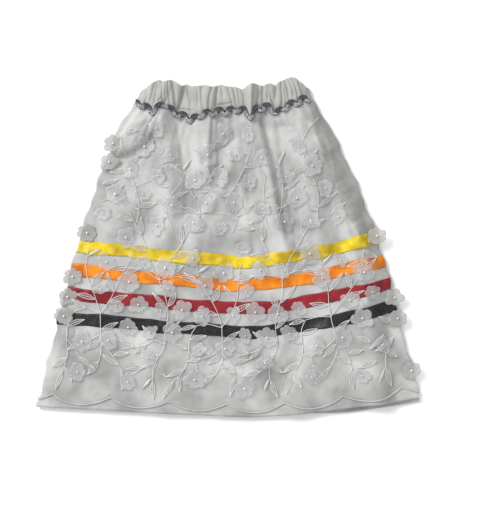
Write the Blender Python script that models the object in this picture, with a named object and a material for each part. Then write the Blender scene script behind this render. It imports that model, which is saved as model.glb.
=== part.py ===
"""A child's ribbon skirt, laid flat on its back with the front up.

A satin underskirt carries four ribbons. A lace overlay with raised petal flowers lies over them and ends
in a scalloped edge above the hem. A gathered casing holds the elastic, and a wavy braid covers its seam.
X runs across the skirt, Y runs from the hem to the waist, and the back rests on Z = 0.
"""

import math

import bmesh
import bpy
import numpy as np
from mathutils.geometry import delaunay_2d_cdt

MM = 0.001

# Driving sizes, in millimetres. A share is 0 at the waist seam and 1 at the hem.
PANEL_LENGTH = 392.0
HEM_MIDDLE_Y = -221.0
LOWEST_AT = 0.1
SATIN = 1.5
BACK_SATIN = 1.2
RIBBON = 1.0
LACE = 1.4
GAP = 0.3
RIBBON_WIDTH = 16.0
RIBBON_PITCH = 30.4
RIBBONS = (("yellow", 190.0), ("orange", 190.0 + RIBBON_PITCH),
           ("red", 190.0 + 2 * RIBBON_PITCH), ("black", 190.0 + 3 * RIBBON_PITCH))

# Heights of the stacked layers where the skirt lies flattest, from the floor up.
BACK_RIBBON_Z = LACE + GAP
BACK_SATIN_Z = BACK_RIBBON_Z + RIBBON + GAP
BACK_TOP_Z = BACK_SATIN_Z + BACK_SATIN
FRONT_Z = BACK_TOP_Z + GAP
RIBBON_LIFT = SATIN + GAP
LACE_LIFT = RIBBON_LIFT + RIBBON + GAP
SIDE_MEET_Z = BACK_TOP_Z + GAP / 2

# The laid outline: share, left edge x, left rise, right edge x, right rise. A rise is how far the side
# of a crosswise thread lies above its middle, because the warp fans out from the gathered waist.
OUTLINE = (
    (0.00, -123.5, 15.5, 109.0, 23.0),
    (0.08, -141.7, 15.8, 123.5, 26.2),
    (0.18, -157.3, 16.0, 143.0, 27.6),
    (0.33, -177.5, 18.9, 169.0, 29.3),
    (0.48, -195.0, 20.7, 190.5, 31.0),
    (0.60, -208.0, 20.0, 204.0, 32.3),
    (0.72, -219.9, 19.3, 216.0, 34.0),
    (0.85, -233.4, 17.2, 229.5, 30.0),
    (1.00, -248.3, 13.6, 248.3, 24.5),
)
BACK_HEM_DROP = 5.0

# The folds: name, half width, height, and the points that the fold's line runs through.
FOLDS = (
    ("left puff", 13, 5.0, ((-142, 127), (-116, 146), (-92, 166))),
    ("crease below the puff", 7, -3.5, ((-158, 110), (-122, 119), (-94, 136))),
    ("left ridge", 12, 6.0, ((-90, 174), (-79, 127), (-74, 62), (-83, 16))),
    ("left valley", 9, -3.0, ((-66, 168), (-53, 107), (-46, 55))),
    ("ridge left of middle", 11, 5.0, ((-30, 166), (-29, 114), (-25, 62))),
    ("slanting middle ridge", 17, 4.5, ((14, 107), (-5, 55), (-31, 12), (-39, -32))),
    ("main ridge", 13, 9.0, ((27, 163), (43, 127), (53, 88), (62, 42), (73, -6))),
    ("valley right of the main ridge", 9, -3.0, ((69, 155), (78, 101), (85, 49), (92, -3))),
    ("right ridge", 16, 6.0, ((103, 168), (111, 114), (116, 62), (118, 3))),
    ("short middle ridge", 10, 3.5, ((30, 55), (36, 10), (43, -36))),
    ("roll along the right side", 15, 9.0,
     ((121, 176), (140, 107), (159, 55), (172, 10), (181, -49), (186, -107), (190, -162), (196, -200))),
    ("slanting ridge above the hem", 17, 7.0, ((134, -110), (110, -149), (90, -205))),
    ("trough beside it", 11, -3.0, ((96, -105), (83, -144), (61, -183))),
    ("hanging crease", 6, -3.0, ((-38, -118), (1, -136), (23, -148), (51, -133))),
    ("swell below the crease", 20, 4.0, ((-18, -162), (27, -170))),
    ("lower left ridge", 14, 4.0, ((-207, -114), (-168, -136), (-144, -162))),
    ("swell above the hem", 22, 4.0, ((-103, -133), (-83, -198))),
    ("left swell", 25, 3.5, ((-129, 81), (-148, 10))),
)
WAIST_LOFT = 2.6
PANEL_LOFT = 1.2
LOFT_FADE = 0.18
LEFT_FALL = 10.0
RIGHT_FALL = 17.0

# The casing: how high its top edge lies at each place across, from -1 at the left to 1 at the right.
CASING_TOP = (
    (-1.0, 208.0), (-0.85, 217.5), (-0.6, 214.5), (-0.3, 210.5), (0.1, 208.7),
    (0.35, 211.0), (0.6, 215.0), (0.84, 221.0), (1.0, 211.0),
)
CASING_TOP_LEFT = -104.0
CASING_TOP_RIGHT = 97.0
GATHERS = 24
GATHER_DEPTH = 1.2
CASING_WALL = 3.0
CASING_CROWN = 0.9
CASING_EDGE_SWAY = 0.7
CASING_ROWS = (0.0, 0.28, 0.72, 1.0)
BACK_CASING_ROWS = (0.0, 0.21, 0.4, 1.0)
BACK_GATHER_DEPTH = 0.4
BACK_EDGE_DROP = 0.8

# How a layer bends over the side fold: how far past the side, and what share of the way it has
# then come to the height at which front and back meet.
LACE_LIP_OUTSIDE = ((2.6, 0.25), (4.4, 1.0))
LACE_LIP_INSIDE = ((1.6, 0.3), (3.2, 1.0))
BACK_LACE_LIP_OUTSIDE = ((2.6, 0.08), (4.4, 1.0))
BACK_LACE_LIP_INSIDE = ((1.6, 0.15), (3.2, 1.0))
CASING_LIP_OUTSIDE = ((2.2, 0.25), (4.0, 1.0))
CASING_LIP_INSIDE = ((1.0, 0.3), (2.4, 1.0))
BACK_CASING_LIP_OUTSIDE = ((2.2, 0.1), (4.0, 1.0))
BACK_CASING_LIP_INSIDE = ((1.0, 0.5), (2.4, 1.0))

# The wavy braid over the waist seam.
BRAID_WAVES = 14.5
BRAID_SWING = 3.0
BRAID_WIDTH = 5.6
BRAID = 1.0
BRAID_MARGIN = 0.015
BRAID_SAMPLES = 6
BACK_BRAID_SAMPLES = 4
STIFF_SAMPLES = 3
SNAG_FREE = 0.15
BRAID_REACH = BRAID_SWING + BRAID_WIDTH / 2 + 0.6

# The lace's scalloped edge, its motif repeat and its petal flowers.
SCALLOP = 76.0
SCALLOP_CUSP_X = -3.0
SCALLOP_LOW = 6.0
SCALLOP_DEPTH = 11.0
REPEAT = 2 * SCALLOP
REPEAT_ORIGIN = -91.0
FLOWER_RADIUS = 12.5
FOOT_SPREAD = 0.8
FOOT_LIFT = 0.3
FLOWER_APART = 2.0
FLOWER_FROM_SIDE = 4.0
FLOWER_TURN = 37.0
PETALS = 5
PETAL_LIFT = 2.4
HEART_LIFT = 1.2
PETAL_WALL = 1.0
PETAL_CUP = 1.6
BLUNT = 0.38
FOOT_BLUNT = 0.45
NOTCH = 0.7

# Flowers of one repeat: across from the repeat's middle, and above the hem.
REPEAT_FLOWERS = (
    (-43, 220), (-68, 186), (-21, 190), (8, 186), (44, 202), (12, 160), (-39, 164), (-56, 132),
    (-27, 136), (30, 134), (2, 131), (60, 168), (-40, 106), (-12, 102), (17, 104), (-30, 78),
    (-2, 76), (-57, 62), (-41, 32), (48, 50), (50, 92), (26, 28), (56, 122), (72, 148), (-70, 104),
)
# Flowers of the upper part, where the gathers draw the repeats together: across, and above the hem.
UPPER_FLOWERS = (
    (-46, 248), (-12, 243), (24, 240), (-30, 275), (6, 279), (44, 268), (-44, 304), (-10, 310),
    (26, 305), (-28, 338), (8, 341), (42, 333), (-8, 366), (24, 364),
)
UPPER_ORIGINS = (-118.0, 0.0, 118.0)

# Flowers that stand out past the sides: name, x, y, turn in degrees.
SIDE_FLOWERS = (
    ("flower_left_top", -155.5, 137.0, 10),
    ("flower_left_upper", -160.5, 110.0, 40),
    ("flower_left_yellow", -189.0, 19.0, 25),
    ("flower_left_orange", -208.0, -38.0, 0),
    ("flower_left_red", -214.5, -64.0, 50),
    ("flower_left_black", -218.0, -89.0, 15),
    ("flower_right_yellow", 191.5, 15.0, 5),
    ("flower_right_red", 215.0, -65.0, 30),
    ("flower_right_black", 219.0, -92.0, 60),
    ("flower_right_low", 237.0, -160.0, 20),
)

# Where the front's crosswise threads are drawn: above, between and below the ribbons.
ABOVE = (0.0, 14.0, 34.0, 58.0, 84.0, 112.0, 144.0)
BELOW = (314.0, 340.0, 366.0, 392.0)
COLUMNS = 39
BACK_COLUMNS = 17
BACK_SCALLOP_COLUMNS = 29
BACK_ROWS = 8


def clear_scene():
    for thing in list(bpy.data.objects):
        bpy.data.objects.remove(thing)


def through(at, table, column):
    """A smooth curve through one column of a table whose first column is the place."""
    rows = np.array(table, float)
    places, values = rows[:, 0], rows[:, column]
    slopes = np.gradient(values, places)
    at = np.asarray(at, float)
    i = np.clip(np.searchsorted(places, at) - 1, 0, len(places) - 2)
    step = places[i + 1] - places[i]
    t = (at - places[i]) / step
    return (values[i] * (1 + 2 * t) * (1 - t) ** 2 + slopes[i] * step * t * (1 - t) ** 2
            + values[i + 1] * t * t * (3 - 2 * t) + slopes[i + 1] * step * t * t * (t - 1))


def smooth(t):
    t = np.clip(t, 0, 1)
    return t * t * (3 - 2 * t)


def plan(across, share):
    """The place on the floor plan of a point of the panel."""
    left, right = through(share, OUTLINE, 1), through(share, OUTLINE, 3)
    from_left = np.clip((LOWEST_AT - across) / (1 + LOWEST_AT), 0, 2)
    from_right = np.clip((across - LOWEST_AT) / (1 - LOWEST_AT), 0, 2)
    rise = through(share, OUTLINE, 2) * from_left ** 1.15 + through(share, OUTLINE, 4) * from_right ** 1.5
    middle = HEM_MIDDLE_Y + PANEL_LENGTH * (1 - share)
    return left + (right - left) * (across + 1) / 2, middle + rise


def across_at(x, share):
    """The place across the panel, -1 to 1, whose x is given."""
    left, right = through(share, OUTLINE, 1), through(share, OUTLINE, 3)
    return 2 * (x - left) / (right - left) - 1


def distance_to_line(x, y, points):
    nearest = np.full(np.shape(x), np.inf)
    for (x0, y0), (x1, y1) in zip(points, points[1:]):
        dx, dy = x1 - x0, y1 - y0
        t = np.clip(((x - x0) * dx + (y - y0) * dy) / (dx * dx + dy * dy), 0, 1)
        nearest = np.minimum(nearest, np.hypot(x - x0 - t * dx, y - y0 - t * dy))
    return nearest


def puff(across, share):
    """How high the front's underside lies above the back, from its loft and its folds."""
    x, y = plan(across, share)
    height = PANEL_LOFT + WAIST_LOFT * np.exp(-(share / LOFT_FADE) ** 2)
    for _, half_width, rise, points in FOLDS:
        height = height + rise * np.exp(-(distance_to_line(x, y, points) / half_width) ** 2)
    half = (through(share, OUTLINE, 3) - through(share, OUTLINE, 1)) / 2
    from_left, from_right = (across + 1) * half, (1 - across) * half
    return np.maximum(height, 0) * smooth(from_left / LEFT_FALL) * smooth(from_right / RIGHT_FALL)


def mesh_object(name, points, faces, material, rounded=False):
    """One closed body from points in millimetres, with its faces turned outwards."""
    shape = bmesh.new()
    corners = [shape.verts.new((x * MM, y * MM, z * MM)) for x, y, z in points]
    for face in faces:
        shape.faces.new([corners[i] for i in face])
    bmesh.ops.recalc_face_normals(shape, faces=shape.faces)
    mesh = bpy.data.meshes.new(name)
    shape.to_mesh(mesh)
    shape.free()
    if rounded:
        mesh.shade_smooth()
        mesh.set_sharp_from_angle(angle=math.radians(50))
    mesh.materials.append(material)
    piece = bpy.data.objects.new(name, mesh)
    bpy.context.scene.collection.objects.link(piece)
    piece.parent = bpy.data.objects["skirt"]
    return piece


def grid_faces(rows, columns, start=0):
    """Two triangles for each cell, always cut along the same diagonal, so that layers nest."""
    faces = []
    for r in range(rows - 1):
        for c in range(columns - 1):
            a = start + r * columns + c
            faces += [(a, a + 1, a + columns), (a + 1, a + columns + 1, a + columns)]
    return faces


def border(rows, columns):
    """Indices round the edge of a grid."""
    top = list(range(columns))
    right = [r * columns + columns - 1 for r in range(1, rows)]
    bottom = [(rows - 1) * columns + c for c in range(columns - 2, -1, -1)]
    left = [r * columns for r in range(rows - 2, 0, -1)]
    return top + right + bottom + left


def rim_faces(first, second):
    faces = []
    for i in range(len(first)):
        j = (i + 1) % len(first)
        faces += [(first[i], first[j], second[j]), (first[i], second[j], second[i])]
    return faces


def wall(name, upper, lower, material, rounded=True):
    """A cloth wall between two grids of the same size, rows by columns by three."""
    rows, columns = upper.shape[:2]
    count = rows * columns
    points = list(upper.reshape(-1, 3)) + list(lower.reshape(-1, 3))
    edge = border(rows, columns)
    faces = grid_faces(rows, columns) + [f[::-1] for f in grid_faces(rows, columns, count)]
    faces += rim_faces(edge, [i + count for i in edge])
    return mesh_object(name, points, faces, material, rounded)


def panel_grid(shares, acrosses, height):
    """Points of a panel layer at the crossings of its threads. height is a number or a grid."""
    a, s = np.meshgrid(acrosses, shares)
    x, y = plan(a, s)
    return np.stack([x, y, np.zeros_like(x) + height], axis=2)


def front_shares():
    between = [d + side * RIBBON_WIDTH / 2 for _, d in RIBBONS for side in (-1, 1)]
    return np.array([*ABOVE, *between, *BELOW]) / PANEL_LENGTH


def front_acrosses():
    return np.linspace(-1, 1, COLUMNS)


def underskirt_front(material):
    shares, acrosses = front_shares(), front_acrosses()
    low = panel_grid(shares, acrosses, FRONT_Z + puff(*np.meshgrid(acrosses, shares)))
    high = low + [0, 0, SATIN]
    return wall("underskirt_front", high, low, material)


def underskirt_back(material):
    shares, acrosses = np.linspace(0, 1, BACK_ROWS), np.linspace(-1, 1, BACK_COLUMNS)
    low = drop_back_hem(panel_grid(shares, acrosses, BACK_SATIN_Z), shares, acrosses)
    return wall("underskirt_back", low + [0, 0, BACK_SATIN], low, material)


def drop_back_hem(grid, shares, acrosses):
    """The back hem lies a little below the front hem at the right, where the hem stands open."""
    a, s = np.meshgrid(acrosses, shares)
    grid[:, :, 1] -= BACK_HEM_DROP * smooth((s - 0.85) / 0.15) * smooth((a - 0.35) / 0.3)
    return grid


def ribbon_front(name, distance, material):
    shares = np.array([distance - RIBBON_WIDTH / 2, distance + RIBBON_WIDTH / 2]) / PANEL_LENGTH
    acrosses = front_acrosses()
    under = panel_grid(shares, acrosses, FRONT_Z + puff(*np.meshgrid(acrosses, shares)) + RIBBON_LIFT)
    return wall(f"ribbon_{name}_front", under + [0, 0, RIBBON], under, material)


def ribbon_back(name, distance, material):
    shares = np.array([distance - RIBBON_WIDTH / 2, distance + RIBBON_WIDTH / 2]) / PANEL_LENGTH
    low = panel_grid(shares, np.linspace(-1, 1, BACK_COLUMNS), BACK_RIBBON_Z)
    return wall(f"ribbon_{name}_back", low + [0, 0, RIBBON], low, material)


def scallop_share(x):
    """The share at which the lace ends: swags that hang between cusps."""
    along = np.mod((x - SCALLOP_CUSP_X) / SCALLOP, 1.0)
    swag = np.abs(2 * along - 1) ** 2
    return 1 - (SCALLOP_LOW + SCALLOP_DEPTH * swag) / PANEL_LENGTH


def lace_grid(shares, acrosses, layer):
    """A lace layer whose last row follows the scallops. layer gives its height from across and share."""
    grid = panel_grid(shares, acrosses, 0)
    ends = scallop_share(grid[-1, :, 0])
    grid[-1, :, 0], grid[-1, :, 1] = plan(acrosses, ends)
    for r, share in enumerate(shares):
        at = np.full(len(acrosses), share) if r < len(shares) - 1 else ends
        grid[r, :, 2] = layer(acrosses, at)
    return grid


def with_lips(grid, lip, end):
    """Adds columns past both sides, where a layer bends over the side fold to the height end."""
    columns = [grid]
    for side, inward in ((0, 1), (-1, -2)):
        edge = grid[:, side]
        out = edge - grid[:, inward]
        out[:, 2] = 0
        out /= np.linalg.norm(out, axis=1)[:, None]
        added = []
        for far, way in lip:
            column = edge + out * far
            column[:, 2] = edge[:, 2] + (end - edge[:, 2]) * way
            added.append(column[:, None])
        columns = [*added[::-1], *columns] if side == 0 else [*columns, *added]
    return np.concatenate(columns, axis=1)


def petal_ring(x, y, turn):
    """The outline of a flower: each petal is blunt, with a notch between it and the next."""
    return flower_points(x, y, turn, ((-BLUNT, FLOWER_RADIUS), (BLUNT, FLOWER_RADIUS),
                                      (math.pi / PETALS, NOTCH * FLOWER_RADIUS)))


def foot_ring(x, y, turn, spread):
    """The outline of a flower's foot on the lace, which follows its petals more plainly."""
    far = FLOWER_RADIUS + spread
    return flower_points(x, y, turn, ((-FOOT_BLUNT, far), (FOOT_BLUNT, far)))


def flower_points(x, y, turn, petal_points):
    """Points round a flower, given for one petal as angles from its middle and distances."""
    ring = []
    for petal in range(PETALS):
        middle = math.radians(turn) + 2 * math.pi * petal / PETALS
        for off, far in petal_points:
            ring.append((x + far * math.cos(middle + off), y + far * math.sin(middle + off)))
    return ring


def lace_flowers():
    """Centres of the front's raised flowers with their turns, none so near that petals cross."""
    places = [(REPEAT_ORIGIN + k * REPEAT + s, t) for k in range(-1, 3) for s, t in REPEAT_FLOWERS]
    places += [(origin + s, t) for origin in UPPER_ORIGINS for s, t in UPPER_FLOWERS]
    side = [(x, y) for _, x, y, _ in SIDE_FLOWERS]
    kept = []
    for n, (x, above_hem) in enumerate(places):
        share = 1 - above_hem / PANEL_LENGTH
        across = float(across_at(x, share))
        if abs(across) > 1:
            continue
        px, py = (float(v) for v in plan(across, share))
        half = float(through(share, OUTLINE, 3) - through(share, OUTLINE, 1)) / 2
        inside = (1 - abs(across)) * half > FLOWER_RADIUS + FLOWER_FROM_SIDE
        taken = [k[:2] for k in kept] + side
        apart = min(math.dist((px, py), other) for other in taken) > 2 * FLOWER_RADIUS + FLOWER_APART
        if inside and apart:
            kept.append((px, py, FLOWER_TURN * n))
    return kept


class Facets:
    """Reads the height of a grid's facets at a place on the floor plan."""

    def __init__(self, grid):
        rows, columns = grid.shape[:2]
        self.points = grid.reshape(-1, 3)
        self.faces = np.array(grid_faces(rows, columns))
        a, b, c = (self.points[self.faces[:, i]] for i in range(3))
        self.a, self.ab, self.ac = a, b - a, c - a
        self.area = self.ab[:, 0] * self.ac[:, 1] - self.ab[:, 1] * self.ac[:, 0]

    def height(self, x, y):
        dx, dy = x - self.a[:, 0], y - self.a[:, 1]
        p = (dx * self.ac[:, 1] - dy * self.ac[:, 0]) / self.area
        q = (self.ab[:, 0] * dy - self.ab[:, 1] * dx) / self.area
        outside = np.maximum(np.maximum(-p, -q), p + q - 1)
        i = int(np.argmin(outside))
        if outside[i] > 0.05:
            return -math.inf
        return float(self.a[i, 2] + p[i] * self.ab[i, 2] + q[i] * self.ac[i, 2])


def inside_ring(x, y, ring):
    hits = False
    for (x0, y0), (x1, y1) in zip(ring, ring[1:] + ring[:1]):
        if (y0 > y) != (y1 > y) and x < (x1 - x0) * (y - y0) / (y1 - y0) + x0:
            hits = not hits
    return hits


def near_flower(corners, flowers):
    """Whether a facet's triangle reaches a flower's foot."""
    centre = corners.mean(axis=0)
    size = max(math.dist(centre[:2], corner[:2]) for corner in corners)
    reach = FLOWER_RADIUS + 2 * FOOT_SPREAD
    for x, y, _ in flowers:
        if math.dist(centre[:2], (x, y)) < size + reach and triangle_reaches(corners, x, y, reach):
            return True
    return False


def triangle_reaches(corners, x, y, reach):
    ring = [tuple(corner[:2]) for corner in corners]
    return inside_ring(x, y, ring) or distance_to_line(x, y, ring + ring[:1]) < reach


def front_lace_layers():
    """The lace's upper and lower grids, with the lips that bend over the side folds."""
    shares, acrosses = front_shares(), front_acrosses()

    def lower(a, s):
        return FRONT_Z + puff(a, s) + LACE_LIFT

    low = lace_grid(shares, acrosses, lower)
    high = low + [0, 0, LACE]
    end = SIDE_MEET_Z + GAP / 2
    return with_lips(high, LACE_LIP_OUTSIDE, end), with_lips(low, LACE_LIP_INSIDE, end)


def overlay_front(material):
    """The front lace: a plain inside, and an outside with each flower's petals raised in it."""
    high, low = front_lace_layers()
    rows, columns = high.shape[:2]
    facets = Facets(high)
    flowers = lace_flowers()
    edge = border(rows, columns)
    on_edge = set(edge)
    points, heights, place = [], [], {}
    for i, (x, y, z) in enumerate(high.reshape(-1, 3)):
        covered = any(inside_ring(x, y, foot_ring(*f, 2 * FOOT_SPREAD)) for f in flowers)
        if i in on_edge or not covered:
            place[i] = len(points)
            points.append((x, y))
            heights.append(z)
    rings = [[place[i] for i in edge]]
    rings += [[place[i] for i in face] for face in facets.faces
              if all(i in place for i in face) and not near_flower(facets.points[face], flowers)]
    for x, y, turn in flowers:
        foot, petals = foot_ring(x, y, turn, FOOT_SPREAD), petal_ring(x, y, turn)
        beyond = foot_ring(x, y, turn, 5 * FOOT_SPREAD)
        crests = [max(facets.height(*p), facets.height(*q)) for p, q in zip(foot, beyond)]
        for ring, base, lift in ((foot, crests, FOOT_LIFT),
                                 (petals, [facets.height(*p) for p in petals], PETAL_LIFT)):
            rings.append(list(range(len(points), len(points) + len(ring))))
            points += ring
            heights += [z + lift for z in base]
        points.append((x, y))
        heights.append(facets.height(x, y) + HEART_LIFT)
    sides = [(ring[i], ring[(i + 1) % len(ring)]) for ring in rings for i in range(len(ring))]
    flat, _, triangles, origin, _, _ = delaunay_2d_cdt(points, sides, [], 1, 1e-5)
    if len(flat) != len(points):
        raise ValueError("two flowers, or a flower and the lace's edge, cross")
    upper = [(points[o[0]][0], points[o[0]][1], heights[o[0]]) for o in origin]
    new_place = {o[0]: n for n, o in enumerate(origin)}
    faces = [tuple(t) for t in triangles]
    lower = [(x, y, z) for x, y, z in low.reshape(-1, 3)]
    faces += [tuple(i + len(upper) for i in f[::-1]) for f in grid_faces(rows, columns)]
    faces += rim_faces([new_place[place[i]] for i in edge], [i + len(upper) for i in edge])
    return mesh_object("overlay_front", upper + lower, faces, material, True)


def overlay_back(material):
    """The back lace lies on the floor, and its sides turn up to meet the front's."""
    over_braid = BRAID_REACH / PANEL_LENGTH
    shares = np.array([0, over_braid, 2 * over_braid, *np.linspace(0.2, 1, BACK_ROWS - 3)])
    acrosses = np.linspace(-1, 1, BACK_SCALLOP_COLUMNS)

    def under(a, s):
        return (BRAID + GAP) * (1 - smooth(s / over_braid - 1)) + 0 * a

    low = lace_grid(shares, acrosses, under)
    high = low + [0, 0, LACE]
    end = SIDE_MEET_Z - GAP / 2
    low = with_lips(low, BACK_LACE_LIP_OUTSIDE, end)
    return wall("overlay_back", with_lips(high, BACK_LACE_LIP_INSIDE, end), low, material)


def gather_phase(across):
    """Turns of the gathers from the left, closer together in some places than in others."""
    return (GATHERS * (across + 1) / 2 + 0.28 * np.sin(7.3 * across) + 0.22 * np.sin(17.9 * across + 1))


def casing_plan(across, up):
    """The place on the floor plan of a point of the casing, up from its seam at 0 to its top at 1."""
    seam_x, seam_y = plan(across, np.zeros_like(across))
    top_x = CASING_TOP_LEFT + (CASING_TOP_RIGHT - CASING_TOP_LEFT) * (across + 1) / 2
    top_y = through(across, CASING_TOP, 1)
    start = GAP / (top_y - seam_y)
    up = start + (1 - start) * up
    return seam_x + (top_x - seam_x) * up, seam_y + (top_y - seam_y) * up


def gather_acrosses(samples_a_gather):
    """Places across at an even number of samples a gather, from one side to the other."""
    samples = np.arange(samples_a_gather * int(gather_phase(1.0)) + 1) / samples_a_gather
    fine = np.linspace(-1, 1, 2001)
    acrosses = np.interp(samples + gather_phase(-1.0), gather_phase(fine), fine)
    acrosses[-1] = 1.0
    return acrosses


def casing_grid(acrosses, ups, height):
    """Points of a casing layer. height is worked out from across and up."""
    a, w = np.meshgrid(acrosses, ups)
    x, y = casing_plan(a, w)
    sway = CASING_EDGE_SWAY * w * np.cos(2 * math.pi * gather_phase(a))
    return np.stack([x, y + sway, height(a, w)], axis=2)


def waistband_front_layers():
    """The casing's upper and lower grids. Its gathers are shallower at the seam, which holds them."""
    acrosses = gather_acrosses(4)
    base = FRONT_Z + puff(acrosses, np.zeros_like(acrosses)) + GATHER_DEPTH / 2

    def ripple(a, w):
        return GATHER_DEPTH * (0.35 + 0.65 * smooth(w / 0.35)) * np.cos(2 * math.pi * gather_phase(a))

    def below(a, w):
        return base + CASING_CROWN * np.sin(math.pi * w) + ripple(a, w) / 2

    def above(a, w):
        crown = CASING_CROWN * (np.sin(math.pi * w) - smooth((w - 0.75) / 0.25))
        return base + CASING_WALL + crown + ripple(a, w)

    high, low = casing_grid(acrosses, CASING_ROWS, above), casing_grid(acrosses, CASING_ROWS, below)
    end = SIDE_MEET_Z + GAP / 2
    return with_lips(high, CASING_LIP_OUTSIDE, end), with_lips(low, CASING_LIP_INSIDE, end)


def waistband_front(material):
    return wall("waistband_front", *waistband_front_layers(), material)


def waistband_back(material):
    """The back casing rests on the floor. Its gathers show on the side that faces the front."""
    _, clear_of_braid, resting, _ = BACK_CASING_ROWS

    def under(a, w):
        return (BRAID + GAP) * (1 - smooth((w - clear_of_braid) / (resting - clear_of_braid))) + 0 * a

    def above(a, w):
        ripple = BACK_GATHER_DEPTH * (np.cos(2 * math.pi * gather_phase(a)) - 1)
        return BACK_TOP_Z + ripple - BACK_EDGE_DROP * smooth(2 * w - 1)

    acrosses = gather_acrosses(2)
    low, high = (casing_grid(acrosses, BACK_CASING_ROWS, layer) for layer in (under, above))
    end = SIDE_MEET_Z - GAP / 2
    low = with_lips(low, BACK_CASING_LIP_OUTSIDE, end)
    return wall("waistband_back", with_lips(high, BACK_CASING_LIP_INSIDE, end), low, material)


def braid_rails(samples_a_wave):
    """The two edges of the wavy braid on the floor plan."""
    turns = np.arange(int(BRAID_WAVES * samples_a_wave) + 1) / samples_a_wave
    across = (1 - BRAID_MARGIN) * (2 * turns / BRAID_WAVES - 1)
    x, y = plan(across, np.zeros_like(across))
    swing = BRAID_SWING * np.cos(2 * math.pi * turns)
    path = np.stack([x, y + swing], axis=1)
    along = np.gradient(path, axis=0)
    along /= np.linalg.norm(along, axis=1)[:, None]
    side = np.stack([-along[:, 1], along[:, 0]], axis=1) * BRAID_WIDTH / 2
    return path + side, path - side


def braid_front(material):
    """The braid lies on the lace below the seam and on the crests of the gathers above it."""
    carried_on = [Facets(front_lace_layers()[0]), Facets(waistband_front_layers()[0])]
    rails = braid_rails(BRAID_SAMPLES)
    heights = np.array([[max(f.height(x, y) for f in carried_on) for x, y in rail] for rail in rails])
    samples = heights.shape[1]
    reach = np.pad(heights.max(axis=0), STIFF_SAMPLES, mode="edge")
    crest = np.max([reach[i:i + samples] for i in range(2 * STIFF_SAMPLES + 1)], axis=0) + GAP + SNAG_FREE
    low = np.array([np.column_stack([rail, crest]) for rail in rails])
    return wall("braid_front", low + [0, 0, BRAID], low, material, False)


def braid_back(material):
    low = np.array([np.column_stack([rail, np.zeros(len(rail))]) for rail in braid_rails(BACK_BRAID_SAMPLES)])
    return wall("braid_back", low + [0, 0, BRAID], low, material, False)


def side_flower(name, x, y, turn, facets, material):
    """A petal flower that stands out past the side fold, cupped, with its inner petals on the lace."""
    ring = petal_ring(x, y, turn)
    touching = [facets.height(x + (px - x) * out, y + (py - y) * out) - PETAL_CUP * out
                for px, py in ring for out in np.linspace(0, 1, 9)]
    seat = max(touching) + GAP + SNAG_FREE / 2
    under = [(px, py, seat + PETAL_CUP) for px, py in ring] + [(x, y, seat)]
    points = under + [(px, py, pz + PETAL_WALL) for px, py, pz in under]
    count, heart = len(ring), len(ring)
    faces = [(i, (i + 1) % count, heart) for i in range(count)]
    faces += [tuple(j + count + 1 for j in f) for f in faces]
    faces += rim_faces(list(range(count)), [i + count + 1 for i in range(count)])
    return mesh_object(name, points, faces, material, True)


def cloth(name, colour, roughness, metallic=0.0):
    material = bpy.data.materials.new(name)
    material.use_nodes = True
    shader = material.node_tree.nodes["Principled BSDF"]
    shader.inputs["Base Color"].default_value = (*colour, 1.0)
    shader.inputs["Roughness"].default_value = roughness
    shader.inputs["Metallic"].default_value = metallic
    material.diffuse_color = (*colour, 1.0)
    return material


def main():
    clear_scene()
    bpy.context.scene.collection.objects.link(bpy.data.objects.new("skirt", None))
    satin = cloth("white_satin", (0.74, 0.74, 0.73), 0.45)
    cotton = cloth("white_cotton", (0.78, 0.77, 0.74), 0.85)
    lace = cloth("white_lace", (0.82, 0.82, 0.81), 0.7)
    organza = cloth("white_organza", (0.80, 0.81, 0.81), 0.5)
    silver = cloth("silver_braid", (0.17, 0.17, 0.19), 0.35, 0.7)
    ribbon_colours = {
        "yellow": cloth("yellow_ribbon", (0.83, 0.62, 0.02), 0.4),
        "orange": cloth("orange_ribbon", (0.87, 0.23, 0.004), 0.4),
        "red": cloth("red_ribbon", (0.42, 0.008, 0.022), 0.4),
        "black": cloth("black_ribbon", (0.011, 0.013, 0.016), 0.4),
    }
    underskirt_front(satin)
    underskirt_back(satin)
    for name, distance in RIBBONS:
        ribbon_front(name, distance, ribbon_colours[name])
        ribbon_back(name, distance, ribbon_colours[name])
    overlay_front(lace)
    overlay_back(lace)
    waistband_front(cotton)
    waistband_back(cotton)
    braid_front(silver)
    braid_back(silver)
    facets = Facets(front_lace_layers()[0])
    for name, x, y, turn in SIDE_FLOWERS:
        side_flower(name, x, y, turn, facets, organza)


main()
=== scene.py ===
"""A child's ribbon skirt, laid flat on its back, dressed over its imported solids."""

import math

import bmesh
import bpy
import numpy as np
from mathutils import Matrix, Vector
from mathutils.bvhtree import BVHTree


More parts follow.
